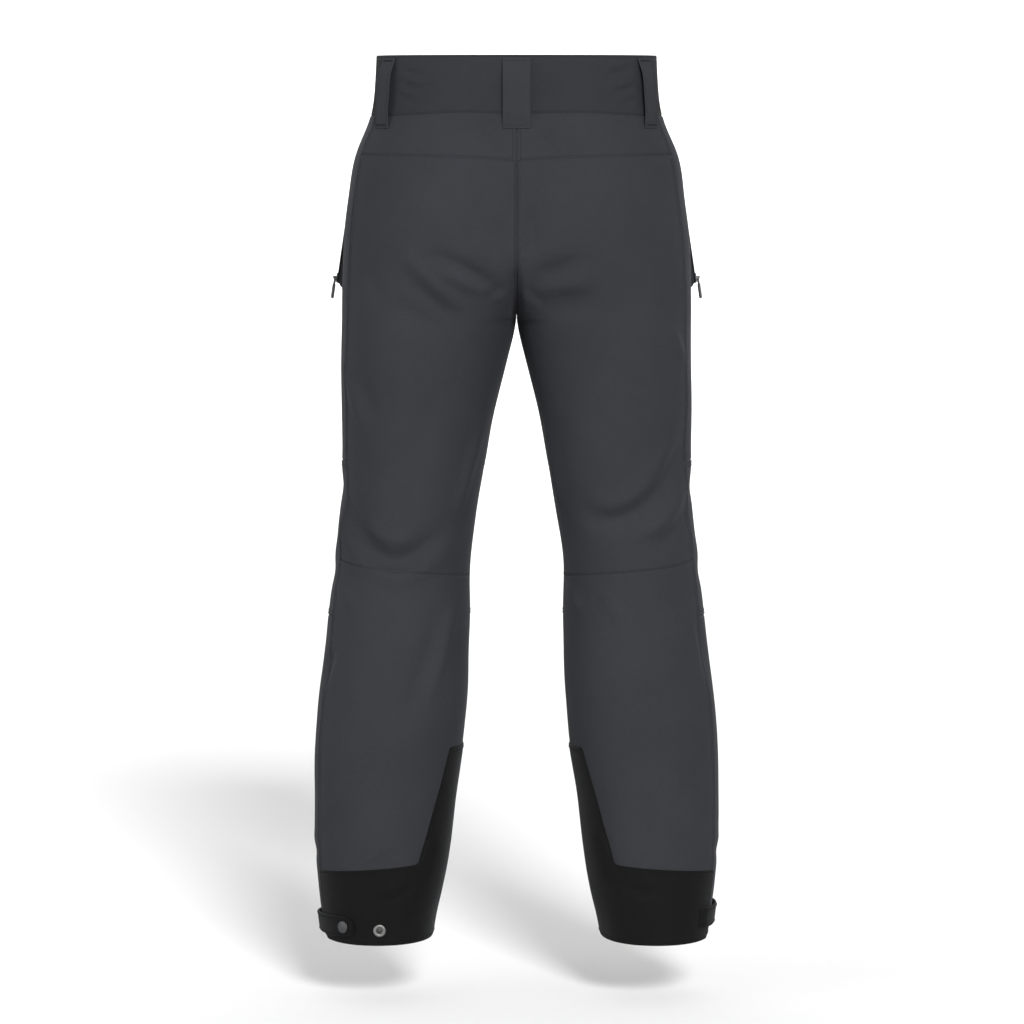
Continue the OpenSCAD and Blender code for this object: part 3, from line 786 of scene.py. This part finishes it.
def panel(name, side, span, low, high, edges, ring=False, off=0.0, thick=1.4, pitch=4.0,
          slots=(0, 1), extra=None, saddle=False, fold=True):
    """A panel of cloth over angles span, between the lines low(f) and high(f).

    edges gives the finish of its first, last, bottom and top edges."""
    q = SIDES[side]
    cloth = Cloth(name)
    probe = np.linspace(span[0], span[1], 60)
    mid = (low(probe) + high(probe)) / 2
    point, _ = base_surface(np.radians(probe), mid, ring)
    arc = walk_over(point[None], 1)[0]
    cols = marks(arc[-1], pitch, edges[0] != "cut", edges[1] != "cut")
    angles = np.interp(cols, arc, probe)
    span_z = float(np.mean(high(angles) - low(angles))) / MM
    rows = marks(span_z, pitch, edges[2] != "cut", edges[3] != "cut") / span_z
    if saddle:
        rows = saddle_rows(rows, low(np.array([180.0]))[0], high(np.array([180.0]))[0])
    a = np.broadcast_to(angles, (len(rows), len(angles)))
    lo, hi = low(angles)[None], high(angles)[None]
    z = lo + (hi - lo) * rows[:, None]
    point, normal, height = lay(a, z, q, ring, off, fold=fold)
    across, rise = walk_over(point, 1), walk_over(point, 0)
    distance = [across, across[:, -1:] - across, rise, rise[-1:] - rise]
    for style, d in zip(edges, distance):
        height = height + relief(style, d) * MM
    if extra is not None:
        height = height + extra(across, rise, distance)
    outer = turn_side(point + normal * height[..., None], q, ring)
    inner = turn_side(point + normal * (height - thick * MM)[..., None], q, ring)
    uv = np.stack([across, rise], -1) * MM
    cloth.sheet(outer, inner, uv, q < 0, slots)
    up_normal = grid_normals(outer) * q
    for k, style in enumerate(edges):
        for at in STITCH_AT.get(style, []):
            line = int(np.argmin(np.abs(np.median(distance[k], k // 2) - at)))
            place = (slice(None), line) if k < 2 else line
            cloth.add(*stitches(outer[place], up_normal[place]), 2)
    return cloth


def saddle_rows(rows, low, high):
    """Adds rows just above the crotch, where the centre seam turns from flat to steep."""
    at = (crotch_z - low) / (high - low)
    share = SADDLE / (high - low)
    keep = [r for r in rows if r < at - 0.003 or r > at + share]
    keep += [at + share * (1 - math.cos(a)) for a in np.radians(np.linspace(0, 88, 22))]
    return np.array(sorted(keep))


def flat_line(z):
    return lambda f: np.full(np.shape(f), z, float)


def over_hip(item, side, *nodes):
    """The piece is baked into the frame where it was built, and stands for its CAD nodes."""
    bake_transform(item)
    shown_for(item, *nodes)


def over_knee(item, side, *nodes):
    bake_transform(item)
    shown_for(item, *nodes)


def on_body(item, body, *nodes):
    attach(item, body)
    shown_for(item, *nodes)


def shown_for(item, *nodes):
    """The piece stands for its CAD nodes, which are hidden, and is listed for declare once
    everything is built.
    """
    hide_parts(*nodes)
    sheets.append(item)


sheets = []
# the start of a piece's name, how it is held and what it lies on
HELD = (
    ("waistband_lining", "hung", "waistband_back"),
    ("side_elastic", "gathered", "waistband_back"),
    ("belt_loop", "folded", "waistband_back"),
    ("hang_loop", "folded", "waistband_lining"),
    ("waist_tab", "laid", "waistband_front_left"),
    ("fly_facing", "folded", "fly_zip"),
    ("fly_zip", "laid", "front_panel_left"),
    ("pocket_zip", "laid", "front_panel_{}"),
    ("pocket_welt", "folded", "front_panel_{}"),
    ("guard", "laid", "calf_panel_{}"),
    ("cuff_tab", "laid", "shin_panel_{}"),
    ("gaiter_elastic", "gathered", "gaiter_{}"),
    ("gaiter", "gathered", "calf_panel_{}"),
    ("back_knee", "hung", "thigh_{}"),
    ("knee", "hung", "thigh_{}"),
    ("calf", "hung", "knee_back_{}"),
    ("shin", "hung", "knee_front_{}"),
    ("", "hung", "waistband_back"),
)


def declare(item):
    """Works out the flat size of a piece, measured along its threads, its cut's flat area and how
    it is held; nothing is done with them.
    """
    side = "right" if "right" in item.name else "left"
    held, rest = next(row[1:] for row in HELD if item.name.startswith(row[0]))
    rest = rest.format(side)
    mesh = item.data
    uv = np.zeros(len(mesh.loops) * 2)
    mesh.uv_layers[0].data.foreach_get("uv", uv)
    width, length = np.ptp(uv.reshape(-1, 2), 0).tolist()
    area = sum(p.area for p in mesh.polygons if p.material_index == 0)
    if not any(p.material_index == 1 for p in mesh.polygons):
        area /= 2           # both faces are the same cloth
    if width < 0.01:        # a tape folded in two
        width, held = 2 * width, "folded"
        area *= 2


# ------------------------------------------------------------------ panels
SPLIT = up(575)             # the back thigh is two pieces here, between the hip's and knee's folds
SIDE_SEAM = 22.5
YOKE_DIP = 9 * MM
INSERT_SPAN = (-4.0, 19.0)
yoke_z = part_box("yoke_left")[0].z + YOKE_DIP * (157.5 / 180) ** 2


def yoke_line(f):
    return yoke_z - YOKE_DIP * (np.maximum(0, f - SIDE_SEAM) / 180) ** 2


def band_wave(x):
    """The waist seam rises a little halfway to the side."""
    return band_z + 2.2 * MM * np.sin(math.pi * np.clip(np.abs(x) / 0.118, 0, 1.25))


def band_line(f):
    return band_wave(skin_xy(np.radians(f), np.full(np.shape(f), band_z))[..., 0])


def band_ring_line(p):
    return band_wave(hip_xy(np.radians(p), np.full(np.shape(p), band_z))[..., 0])


def hem_line(f):
    """The hem rises towards the front, over the boot."""
    return hem_z + 6 * MM * (1 - np.sin(np.radians(f))) / 2


def knee_line(f):
    """The knee seam: lower towards the inner side."""
    return up(457) - 22 * MM * np.clip((f - SIDE_SEAM) / 157, 0, 1) ** 0.8


def guard_line(f):
    return up(np.interp(f, [SIDE_SEAM, 124, 146, 214, 240], [84, 96, 234, 234, 40]))


def guard_hem(f):
    return hem_line(f) - 0.7 * MM


CLOTH = [SHELL, INSIDE, THREAD]


def make_back(side):
    behind = (SIDE_SEAM, 180)
    yoke = panel(f"yoke_{side}_cloth", side, behind, yoke_line, band_line,
                 ("felled", "twin", "single", "plain"))
    on_body(yoke.build(CLOTH), "pelvis", f"yoke_{side}")
    seat = panel(f"seat_{side}_cloth", side, behind, flat_line(SPLIT), yoke_line,
                 ("felled", "twin", "cut", "plain"), saddle=True)
    over_hip(seat.build(CLOTH), side,
             f"seat_panel_{side}", f"hip_fold_{side}", f"thigh_{side}")
    knee = panel(f"back_knee_{side}_cloth", side, behind, knee_line, flat_line(SPLIT),
                 ("felled", "plain", "single", "cut"))
    over_knee(knee.build(CLOTH), side, f"knee_back_{side}")
    calf = panel(f"calf_{side}_cloth", side, behind, hem_line, knee_line,
                 ("felled", "plain", "fold", "plain"))
    over_knee(calf.build(CLOTH), side, f"calf_panel_{side}")


def seam_route(side, route, step=2.0):
    """A line of stitches over (angle, height) points of a side, on top of the cloth."""
    q = SIDES[side]
    points = np.array(route, float)
    walk = walk_along(points * [1.8, 1])
    at = np.arange(0, walk[-1], step)
    f, h = np.interp(at, walk, points[:, 0]), np.interp(at, walk, points[:, 1])
    point, normal, height = lay(f[None], up(h)[None], q)
    place = turn_side(point + normal * height[..., None], q, False)[0]
    out = normal[0] * np.array([q, 1, 1])
    return stitches(place, out)


def angle_of(x, h, low=-178.0, high=-60.0):
    """The front angle where the skin is x millimetres from the middle."""
    f = np.linspace(low, high, 80)
    return float(np.interp(x * MM, skin_xy(np.radians(f), np.full(80, up(h)))[:, 0], f))


def make_front(side):
    before = (-180, SIDE_SEAM)
    upper = panel(f"front_{side}_cloth", side, before, flat_line(SPLIT), band_line,
                  ("plain",) * 4, saddle=True)
    if side == "left":
        for inset in (0, 5):
            bend = [(38 - inset, 982), (38 - inset, 900), (37 - inset, 868), (32 - inset, 846),
                    (22 - inset / 2, 828 + inset / 2), (8, 818 + inset / 2)]
            route = [(angle_of(x, h), h) for x, h in bend]
            upper.add(*seam_route(side, route), 2)
    for shift in (-9, 11):
        route = [(-7 + shift, 778), (-13 + shift, 850), (-20 + shift, 924)]
        upper.add(*seam_route(side, route), 2)
    over_hip(upper.build(CLOTH), side, f"front_panel_{side}")
    knee_end = flat_line(up(388))
    knee = panel(f"knee_{side}_cloth", side, before, knee_end, flat_line(SPLIT),
                 ("plain", "plain", "felled", "felled"))
    over_knee(knee.build(CLOTH), side, f"knee_front_{side}")
    shin = panel(f"shin_{side}_cloth", side, before, hem_line, knee_end,
                 ("plain", "plain", "fold", "plain"))
    over_knee(shin.build(CLOTH), side, f"shin_panel_{side}")


def make_guard(side):
    guard = panel(f"guard_{side}_cloth", side, (SIDE_SEAM, 236.25), guard_hem, guard_line,
                  ("single", "single", "fold", "single"), off=1.3, thick=1.1)
    on_body(guard.build([GUARD, INSIDE, BLACK_THREAD]), f"shin_{side}", f"scuff_guard_{side}")


def gathers(across, rise, distance):
    """Fabric drawn in by the elastic behind it."""
    wave = np.abs(np.sin(across * math.pi / 6.2 + 0.5 * np.sin(rise / 9)))
    ends = np.clip(np.minimum(distance[2], distance[3]) / 8, 0.25, 1)
    return (0.9 * wave - 0.9) * MM * ends


def make_waist():
    lo, hi = INSERT_SPAN
    lines = (band_ring_line, flat_line(top_z))
    edges = ("plain", "plain", "single", "fold")
    back = panel("waistband_back_cloth", "left", (hi, 180 - hi), *lines, edges, ring=True)
    on_body(back.build([BAND_PAINTED_SHADE, INSIDE, THREAD]), "pelvis", "waistband_back")
    for side, q in SIDES.items():
        span = (-90.3, lo) if q > 0 else (180 - lo, 270.3)
        front = panel(f"waistband_front_{side}_cloth", "left", span, *lines, edges, ring=True)
        on_body(front.build([BAND_PAINTED_SHADE, INSIDE, THREAD]), "pelvis", f"waistband_front_{side}")
        span = (lo, hi) if q > 0 else (180 - hi, 180 - lo)
        elastic = panel(f"side_elastic_{side}", "left", span, *lines,
                        ("plain", "plain", "plain", "fold"), ring=True, off=-0.3, pitch=1.4,
                        extra=gathers)
        on_body(elastic.build([INSERT, INSIDE, THREAD]), "pelvis", f"elastic_insert_{side}")


def closed_band(name, low, high, thick, material, shape, ring=False, side="left", pitch=5.0,
                count=120):
    """A band of cloth that goes all the way round, as far out of the skin as shape(a, z) says."""
    q = SIDES[side]
    cloth = Cloth(name)
    angles = np.linspace(-180, 180, count, endpoint=False)
    length = (high - low) / MM
    rows = marks(length, pitch) / length
    a = np.broadcast_to(angles, (len(rows), count))
    z = np.broadcast_to((low + (high - low) * rows)[:, None], a.shape)
    point, normal = base_surface(np.radians(a), z, ring)
    height = shape(a, z)
    outer = turn_side(point + normal * height[..., None], q, ring)
    inner = turn_side(point + normal * (height - thick * MM)[..., None], q, ring)
    uv = np.stack([walk_over(outer, 1) * MM, z - low], -1)
    cloth.sheet(outer, inner, uv, q < 0, closed=True)
    return cloth.build([material, material])


def make_lining():
    lining = closed_band("waistband_lining_cloth", band_z + 3 * MM, top_z - 3 * MM, 1.2, LINING,
                         lambda a, z: np.full(a.shape, -2.6 * MM), ring=True, count=220)
    on_body(lining, "pelvis", "waistband_lining")


# ------------------------------------------------------------------ strips: loops and tabs
STRIP_MARKS = [0, 0.25, 0.6, 1.1, 1.6, 2.1, 2.6]


def ribbon(name, centers, normals, width, thick, sew=True, closed=False):
    """A strip of folded cloth along a path, with a row of stitches near each of its edges."""
    cloth = Cloth(name)
    if closed:
        tangent = np.roll(centers, -1, 0) - np.roll(centers, 1, 0)
    else:
        tangent = np.gradient(centers, axis=0)
    across = np.cross(unit(tangent), normals)
    inner = np.linspace(3.4, width - 3.4, max(2, int(width / 2.5)))
    cols = np.array(STRIP_MARKS + inner.tolist() + [width - m for m in STRIP_MARKS[::-1]])
    edge = np.minimum(cols, width - cols)
    height = -0.4 * thick * np.exp(-(edge / 0.45) ** 2)
    if sew:
        height = height - 0.22 * bump_at(edge, 2.1, 0.4)
    place = (cols - width / 2)[None, :, None] * MM * across[:, None]
    outer = centers[:, None] + place + height[None, :, None] * MM * normals[:, None]
    lower = centers[:, None] + place - (thick + height)[None, :, None] * MM * normals[:, None]
    uv = np.stack(np.broadcast_arrays(cols[None] * MM, walk_along(centers)[:, None]), -1)
    if closed:
        turned = [np.swapaxes(g, 0, 1) for g in (outer, lower, uv)]
        cloth.sheet(*turned, True, (0, 0), closed=True)
    else:
        cloth.sheet(outer, lower, uv, False, (0, 0))
    if sew:
        for at in (5, len(cols) - 6):
            cloth.add(*stitches(outer[:, at], normals, pitch=3.2, length=2.5, radius=0.26), 2)
    return cloth


def bar_tack(cloth, center, along, normal, length):
    """Two short dense bars of thread beside each other."""
    side = np.cross(along, normal)
    ends = np.linspace(-0.5, 0.5, 9)[:, None] * length * MM
    for shift in (-0.55, 0.55):
        path = center + shift * MM * side + ends * along
        cloth.add(*stitches(path, np.repeat(normal[None], 9, 0), pitch=0.85, length=0.75,
                            radius=0.45, lift=0.1), 2)


def belt_loop(name, angle, width, stand, node):
    """A strip from the top of the waistband to below it, that bows away in the middle."""
    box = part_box(node)
    low, high = box[0].z, box[1].z
    p = math.radians(angle)
    z = np.linspace(low, high, 46)
    share = (z - low) / (high - low)
    point = base_surface(np.full(z.shape, p), z, True)[0]
    start, out = [v[0] for v in base_surface(np.array([p]), np.array([band_z]), True)]
    out = unit(out * np.array([1, 1, 0]))
    rest = (point - start) @ out
    bow = 2.2 + stand * (1 - np.exp(-3.4 * np.sin(math.pi * share) ** 2))
    bow -= 0.9 * bump_at(share, 0, 0.03) + 0.9 * bump_at(share, 1, 0.03)
    centers = start + out * (rest + bow * MM)[:, None]
    centers[:, 2] = z
    tangent = unit(np.gradient(centers, axis=0))
    normals = unit(np.cross(np.cross(tangent, out), tangent))
    cloth = ribbon(name, centers, normals, width, 1.7, sew=width < 30)
    for k in (2, -3):
        along = np.cross(tangent[k], normals[k])
        if width < 30:
            bar_tack(cloth, centers[k], along, normals[k], width - 5)
        else:
            path = centers[k] + np.linspace(-0.5, 0.5, 12)[:, None] * (width - 3) * MM * along
            cloth.add(*stitches(path, np.repeat(normals[k][None], 12, 0), radius=0.3), 2)
    on_body(cloth.build(CLOTH, "loop_fabric"), "pelvis", node)


def make_loops():
    belt_loop("belt_loop_center_strip", 90, 33, 6, "belt_loop_center")
    for node, angle in (("belt_loops_back", 29), ("belt_loops_front", -52)):
        for side, q in SIDES.items():
            turn = angle if q > 0 else 180 - angle
            belt_loop(f"{node}_{side}_strip", turn, 25, 7, node)
    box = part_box("hang_loop")
    turn = np.linspace(0, 2 * math.pi, 96, endpoint=False)
    half = np.array([(box[1].x - box[0].x) / 2, (box[1].z - box[0].z) / 2]) - 2.75 * MM
    centers = np.stack([half[0] * power(np.cos(turn), 0.35),
                        np.full(96, box[0].y + 0.2 * MM), half[1] * power(np.sin(turn), 0.55)], -1)
    centers[:, 2] += (box[0].z + box[1].z) / 2
    normals = np.repeat(np.array([[0.0, -1.0, 0.0]]), 96, 0)
    hanger = ribbon("hang_loop_tape", centers, normals, 5.4, 1.3, sew=False, closed=True)
    on_body(hanger.build([TAPE], "black_webbing"), "pelvis", "hang_loop")


TAB_HALF, TAB_LONG, TAB_SNAP = 12 * MM, 68, 58
CUFF_TABS = {"left": (0, 1), "right": (44, -1)}     # the angle of the sewn end, and the way it runs


def make_cuff_tab(side):
    start, way = CUFF_TABS[side]
    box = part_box(f"cuff_tab_{side}")
    middle = (box[0].z + box[1].z) / 2
    ends = sorted((start, start + way * TAB_LONG))

    def reach(f):
        s = np.clip((np.abs(f - start) - TAB_SNAP + 1) / (TAB_LONG - TAB_SNAP + 1), 0, 1)
        return TAB_HALF * np.sqrt(1 - 0.92 * s ** 2.4)

    def sewn(across, rise, distance):
        d = distance[0] if way > 0 else distance[1]
        return -3.0 * MM * (1 - step_up(d, 0.5, 14))

    tab = panel(f"cuff_tab_{side}_strip", side, ends, lambda f: middle - reach(f),
                lambda f: middle + reach(f), ("single",) * 4, off=5.4, thick=1.7, slots=(0, 0),
                extra=sewn, fold=False, pitch=2.5)
    on_body(tab.build([GUARD, GUARD, BLACK_THREAD], "black_webbing"), f"cuff_tab_{side}",
            f"cuff_tab_{side}")


def make_waist_tab():
    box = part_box("waist_tab")

    def sewn(across, rise, distance):
        return -2.4 * MM * (1 - step_up(distance[1], 0.5, 12))

    tab = panel("waist_tab_strip", "left", (-105, -80), flat_line(box[0].z), flat_line(box[1].z),
                ("single", "plain", "single", "single"), ring=True, off=3.8, thick=1.7,
                slots=(0, 0), extra=sewn, fold=False, pitch=2.5)
    on_body(tab.build(CLOTH), "waist_tab", "waist_tab")


# ------------------------------------------------------------------ snaps
def solids_of(node):
    """The separate solids of a CAD node, each as an array of its points."""
    mesh = frame["nodes"][node].data
    group = list(range(len(mesh.vertices)))

    def root(i):
        while group[i] != i:
            group[i] = group[group[i]]
            i = group[i]
        return i

    by_place = {}
    for v in mesh.vertices:
        key = tuple(round(c, 6) for c in v.co)
        group[root(v.index)] = root(by_place.setdefault(key, v.index))
    for e in mesh.edges:
        group[root(e.vertices[0])] = root(e.vertices[1])
    parts = {}
    for v in mesh.vertices:
        parts.setdefault(root(v.index), []).append(v.co[:])
    return [np.array(points) for points in parts.values()]


def disc_frame(points, inside):
    """The middle of a flat round solid, the way it faces, its radius and its thickness."""
    middle = (points.max(0) + points.min(0)) / 2
    axes = np.linalg.svd(points - points.mean(0), full_matrices=False)[2]
    face = axes[2] if (middle - inside) @ axes[2] > 0 else -axes[2]
    depth = (points - middle) @ face
    flat = (points - middle) - depth[:, None] * face
    radius = np.linalg.norm(flat, axis=1).max()
    return middle, face, radius, depth.min(), depth.max()


# (share of the radius, share of the thickness) from the foot to the top
CAP_PROFILE = ((0.86, 0), (1.0, 0.12), (1.0, 0.34), (0.96, 0.5), (0.86, 0.64), (0.8, 0.6),
               (0.72, 0.7), (0.5, 0.86), (0.25, 0.96), (0.02, 1.0))
RING_PROFILE = ((0.9, 0), (1.0, 0.15), (1.0, 0.5), (0.95, 0.8), (0.84, 1.0), (0.7, 1.0),
                (0.58, 0.85), (0.52, 0.55), (0.5, 0.25))
SOCKET_PROFILE = ((0.5, 0.2), (0.46, 0.3), (0.28, 0.3), (0.24, 0.62), (0.14, 0.7), (0.02, 0.7))
SNAP_CAP, SNAP_RING = [CAP_PROFILE], [RING_PROFILE, SOCKET_PROFILE]


def lathe(cloth, disc, profile, slot, turns=48):
    """Turns a profile about the direction that a flat round solid faces, at its size."""
    middle, face, radius, low, high = disc
    side = unit(np.cross(face, [0, 0, 1.0]))
    top = np.cross(face, side)
    angle = np.linspace(0, 2 * math.pi, turns, endpoint=False)
    round_ring = np.cos(angle)[:, None] * side + np.sin(angle)[:, None] * top
    foot = middle + face * low
    verts = [foot + face * (t * (high - low)) + r * radius * round_ring for r, t in profile]
    faces = []
    for j in range(len(profile) - 1):
        for i in range(turns):
            a, b = j * turns + i, j * turns + (i + 1) % turns
            faces.append((a, b, b + turns, a + turns))
    last = (len(profile) - 1) * turns
    faces += [tuple(range(turns - 1, -1, -1)), tuple(range(last, last + turns))]
    cloth.add(np.array(verts), faces, slot, flip=True)


def make_snaps(node, body, inside, kinds):
    """Snaps over the solids of a CAD node, from the tallest solid down, one kind for each."""
    cloth = Cloth(node + "_metal")
    for points, kind in zip(sorted(solids_of(node), key=lambda s: -np.ptp(s[:, 2])), kinds):
        for slot, profile in enumerate(kind):
            lathe(cloth, disc_frame(points, inside), profile, slot)
    item = cloth.build([CAP if "cap" in node else STEEL, DARK])
    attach(item, body)
    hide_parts(node)


# ------------------------------------------------------------------ zips
COIL_PITCH = 1.35


def axis_of(joint):
    return np.array(joints[joint]["axis"], float)


def zip_frame(node, along, across):
    """The foot of a zip, its three directions with z out of the fabric, and its length."""
    points = np.concatenate(solids_of(node))
    x, y = unit(across), unit(along)
    z = np.cross(x, y)
    middle = points.mean(0)
    if z @ np.array([middle[0], middle[1], 0]) < 0:
        x, z = -x, -z
    local = points @ np.stack([x, y, z], 1)
    low, high = local.min(0), local.max(0)
    foot = x * (low[0] + high[0]) / 2 + y * low[1] + z * (low[2] + 1.3 * MM)
    return foot, x, y, z, (high[1] - low[1]) / MM


def in_zip(place, values):
    """Points given in millimetres across, along and out of a zip, in the frame."""
    foot, x, y, z = place[:4]
    values = np.asarray(values, float) * MM
    return foot + values[..., 0:1] * x + values[..., 1:2] * y + values[..., 2:3] * z


shell_tree = skin_tree(SIDES)


def skin_below(place, across, along):
    """How deep the skin lies under a point of the zip, in millimetres."""
    start = in_zip(place, [across, along, 14.0])
    hit = shell_tree.ray_cast(Vector(start), Vector(-place[3]))[0]
    return -3.0 if hit is None else 14.0 - (Vector(start) - hit).length / MM


def make_zip(name, node, place):
    """Tape on each side of two rows of coil."""
    length = place[4]
    cloth = Cloth(name)
    rows = np.linspace(0, length, int(length / 3))
    for side in (-1, 1):
        cols = np.array([0.6, 1.4, 2.4, 3.2, 4.5, 6.5, 8.5, 10.0]) * side
        if side < 0:
            cols = cols[::-1]
        grid = np.zeros((len(rows), len(cols), 3))
        grid[..., 0], grid[..., 1] = cols, rows[:, None]
        grid[..., 2] = -0.5 + 0.35 * bump_at(np.abs(cols), 2.6, 0.7)
        lower = grid - np.array([0, 0, 0.6])
        uv = grid[..., :2] * MM
        cloth.sheet(in_zip(place, grid), in_zip(place, lower), uv, False, (0, 0))
        count = int((length - 1.5) / COIL_PITCH)
        for k in range(count):
            y = 1 + COIL_PITCH * k + (0.68 if side > 0 else 0)
            path = np.array([[2.5 * side, y - 0.25, 0.1], [1.6 * side, y - 0.1, 0.55],
                             [0.7 * side, y, 0.6], [-0.3 * side, y + 0.1, 0.35]])
            tooth(cloth, place, path, 0.42)
    on_body(cloth.build([TAPE, TEETH]), "pelvis", node)


def tooth(cloth, place, path, radius):
    """One turn of the coil, as a bent rod."""
    along = np.array([0.0, 1.0, 0.0])
    out = np.cross(unit(np.gradient(path, axis=0)), along)
    angle = np.radians(np.arange(0, 360, 60))
    verts = (path[:, None] + radius * (np.cos(angle)[None, :, None] * along
             + np.sin(angle)[None, :, None] * out[:, None]))
    faces = []
    for j in range(len(path) - 1):
        for i in range(6):
            a, b = 6 * j + i, 6 * j + (i + 1) % 6
            faces.append((a, b, b + 6, a + 6))
    faces.append(tuple(range(5, -1, -1)))
    faces.append(tuple(range(6 * len(path) - 6, 6 * len(path))))
    cloth.add(in_zip(place, verts), faces, 1)


def make_welt(name, node, place, side, inner, outer, ends=6.0):
    """A strip of shell cloth from beside the teeth down to the panel."""
    length = place[4]
    rows = np.concatenate([
        [-ends, -ends + 0.8, -ends + 2.0], np.linspace(-ends + 4, length + ends - 4, 36),
        [length + ends - 2, length + ends - 0.8, length + ends]])
    share = np.array([0, 0.02, 0.05, 0.1, 0.16, 0.22, 0.3, 0.4, 0.5, 0.62, 0.75, 0.88, 1.0])
    across = share * (outer - inner)
    shape = 0.45 * (1 - bump_at(across, 0, 0.8))
    groove = -0.3 * bump_at(across, 2.2, 0.5)
    fall = smooth(share)
    grid = np.zeros((len(rows), len(share), 3))
    grid[..., 0], grid[..., 1] = side * (inner + across), rows[:, None]
    for line, y in zip(grid, rows):
        skin, inner_skin = [skin_below(place, side * x, y) for x in (outer, inner)]
        at_end = min(y + ends, length + ends - y) / (ends + 4)
        top = min(1.0, max(0.0, at_end)) ** 0.6 * (0.4 - inner_skin) + inner_skin
        line[:, 2] = (top + shape) * (1 - fall) + (skin - 0.9) * fall + groove
    lower = grid - np.array([0, 0, 0.9])
    cloth = Cloth(name)
    uv = np.abs(grid[..., :2]) * MM
    cloth.sheet(in_zip(place, grid), in_zip(place, lower), uv, side < 0, (0, 1))
    path = in_zip(place, grid[:, int(np.argmin(np.abs(across - 2.2)))])
    cloth.add(*stitches(path, np.repeat(place[3][None], len(path), 0)), 2)
    on_body(cloth.build(CLOTH), "pelvis", node)


def make_fly():
    place = zip_frame("fly_zip", -axis_of("fly_zip_travel"), axis_of("fly_pull_swing"))
    make_zip("fly_zip_chain", "fly_zip", place)
    for label, way in (("a", -1), ("b", 1)):
        make_welt(f"fly_facing_{label}", "fly_facing", place, way, 3.4, 19.0, ends=3.0)


def make_pocket(side):
    place = zip_frame(f"pocket_zip_{side}", axis_of(f"pocket_zip_travel_{side}"),
                      axis_of(f"pocket_pull_swing_{side}"))
    make_zip(f"pocket_zip_{side}_chain", f"pocket_zip_{side}", place)
    for label, way in (("a", -1), ("b", 1)):
        make_welt(f"pocket_welt_{side}_{label}", f"pocket_zip_{side}", place, way, 3.2, 14.0)
    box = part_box(f"pocket_bag_{side}")

    def puff(across, rise, distance):
        edge = np.min(distance, axis=0)
        return -2.5 * MM * step_up(edge, 0, 40)

    bag = panel(f"pocket_bag_{side}_cloth", side, (-92, -12), flat_line(box[0].z),
                flat_line(box[1].z), ("plain",) * 4, off=-3.4, thick=0.9, slots=(0, 0),
                extra=puff, fold=False, pitch=6)
    on_body(bag.build([LINING]), "pelvis", f"pocket_bag_{side}")


# ------------------------------------------------------------------ snow gaiters
def make_gaiter(side):
    low, top = [corner.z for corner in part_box(f"gaiter_{side}")]
    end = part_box(f"gaiter_elastic_{side}")[0].z

    def inset(z):
        share = np.clip((top - z) / (170 * MM), 0, 1.2)
        return (-3.0 - 26 * share ** 0.8) * MM, share

    def cone(a, z):
        depth, share = inset(z)
        angle = np.radians(a)
        waves = np.sin(26 * angle + 3 * share) + 0.5 * np.sin(41 * angle + 1.0)
        return depth + waves * share ** 2 * 0.9 * MM

    def band(a, z):
        depth, share = inset(z)
        return depth + 0.4 * MM + 0.5 * MM * np.sin(72 * np.radians(a))

    cloth = closed_band(f"gaiter_{side}_cloth", low, top, 0.9, GAITER, cone, side=side,
                        count=240)
    on_body(cloth, f"shin_{side}", f"gaiter_{side}")
    elastic = closed_band(f"gaiter_elastic_{side}_band", end, low + 3 * MM, 2.0, ELASTIC, band,
                          side=side, count=432, pitch=2.5)
    on_body(elastic, f"shin_{side}", f"gaiter_elastic_{side}")


# ------------------------------------------------------------------ everything
def finish_node(name, material):
    """Rounds the edges of a hard CAD part and gives it its finish."""
    item = frame["nodes"][name]
    for slot in item.material_slots:
        slot.material = material
    bevel = item.modifiers.new("rounding", "BEVEL")
    bevel.width = 0.35 * MM
    bevel.segments = 3
    bevel.limit_method = "ANGLE"
    bevel.angle_limit = math.radians(40)


make_camera()
make_stage()
make_lights()
make_waist()
make_lining()
make_loops()
make_waist_tab()
make_fly()
for side in SIDES:
    for make_piece in (make_back, make_front, make_guard, make_cuff_tab, make_pocket, make_gaiter):
        make_piece(side)
for item in sheets:
    declare(item)

waist_middle = np.array([0, 0, -0.035])
make_snaps("waist_snap_caps", "waist_tab", waist_middle, [SNAP_CAP] * 2)
make_snaps("waist_studs", "pelvis", waist_middle, [SNAP_CAP] * 2)
for side, q in SIDES.items():
    leg_middle = np.array([q * 0.166, 0.006, hem_z + 0.02])
    make_snaps(f"cuff_studs_{side}", f"shin_{side}", leg_middle, [SNAP_RING, SNAP_CAP])
    make_snaps(f"cuff_cap_{side}", f"cuff_tab_{side}", leg_middle, [SNAP_CAP])
    finish_node(f"lace_hook_{side}", STEEL)
    finish_node(f"pocket_slider_{side}", SLIDER)
    finish_node(f"pocket_pull_{side}", PULL)
finish_node("fly_slider", SLIDER)
finish_node("fly_pull", PULL)
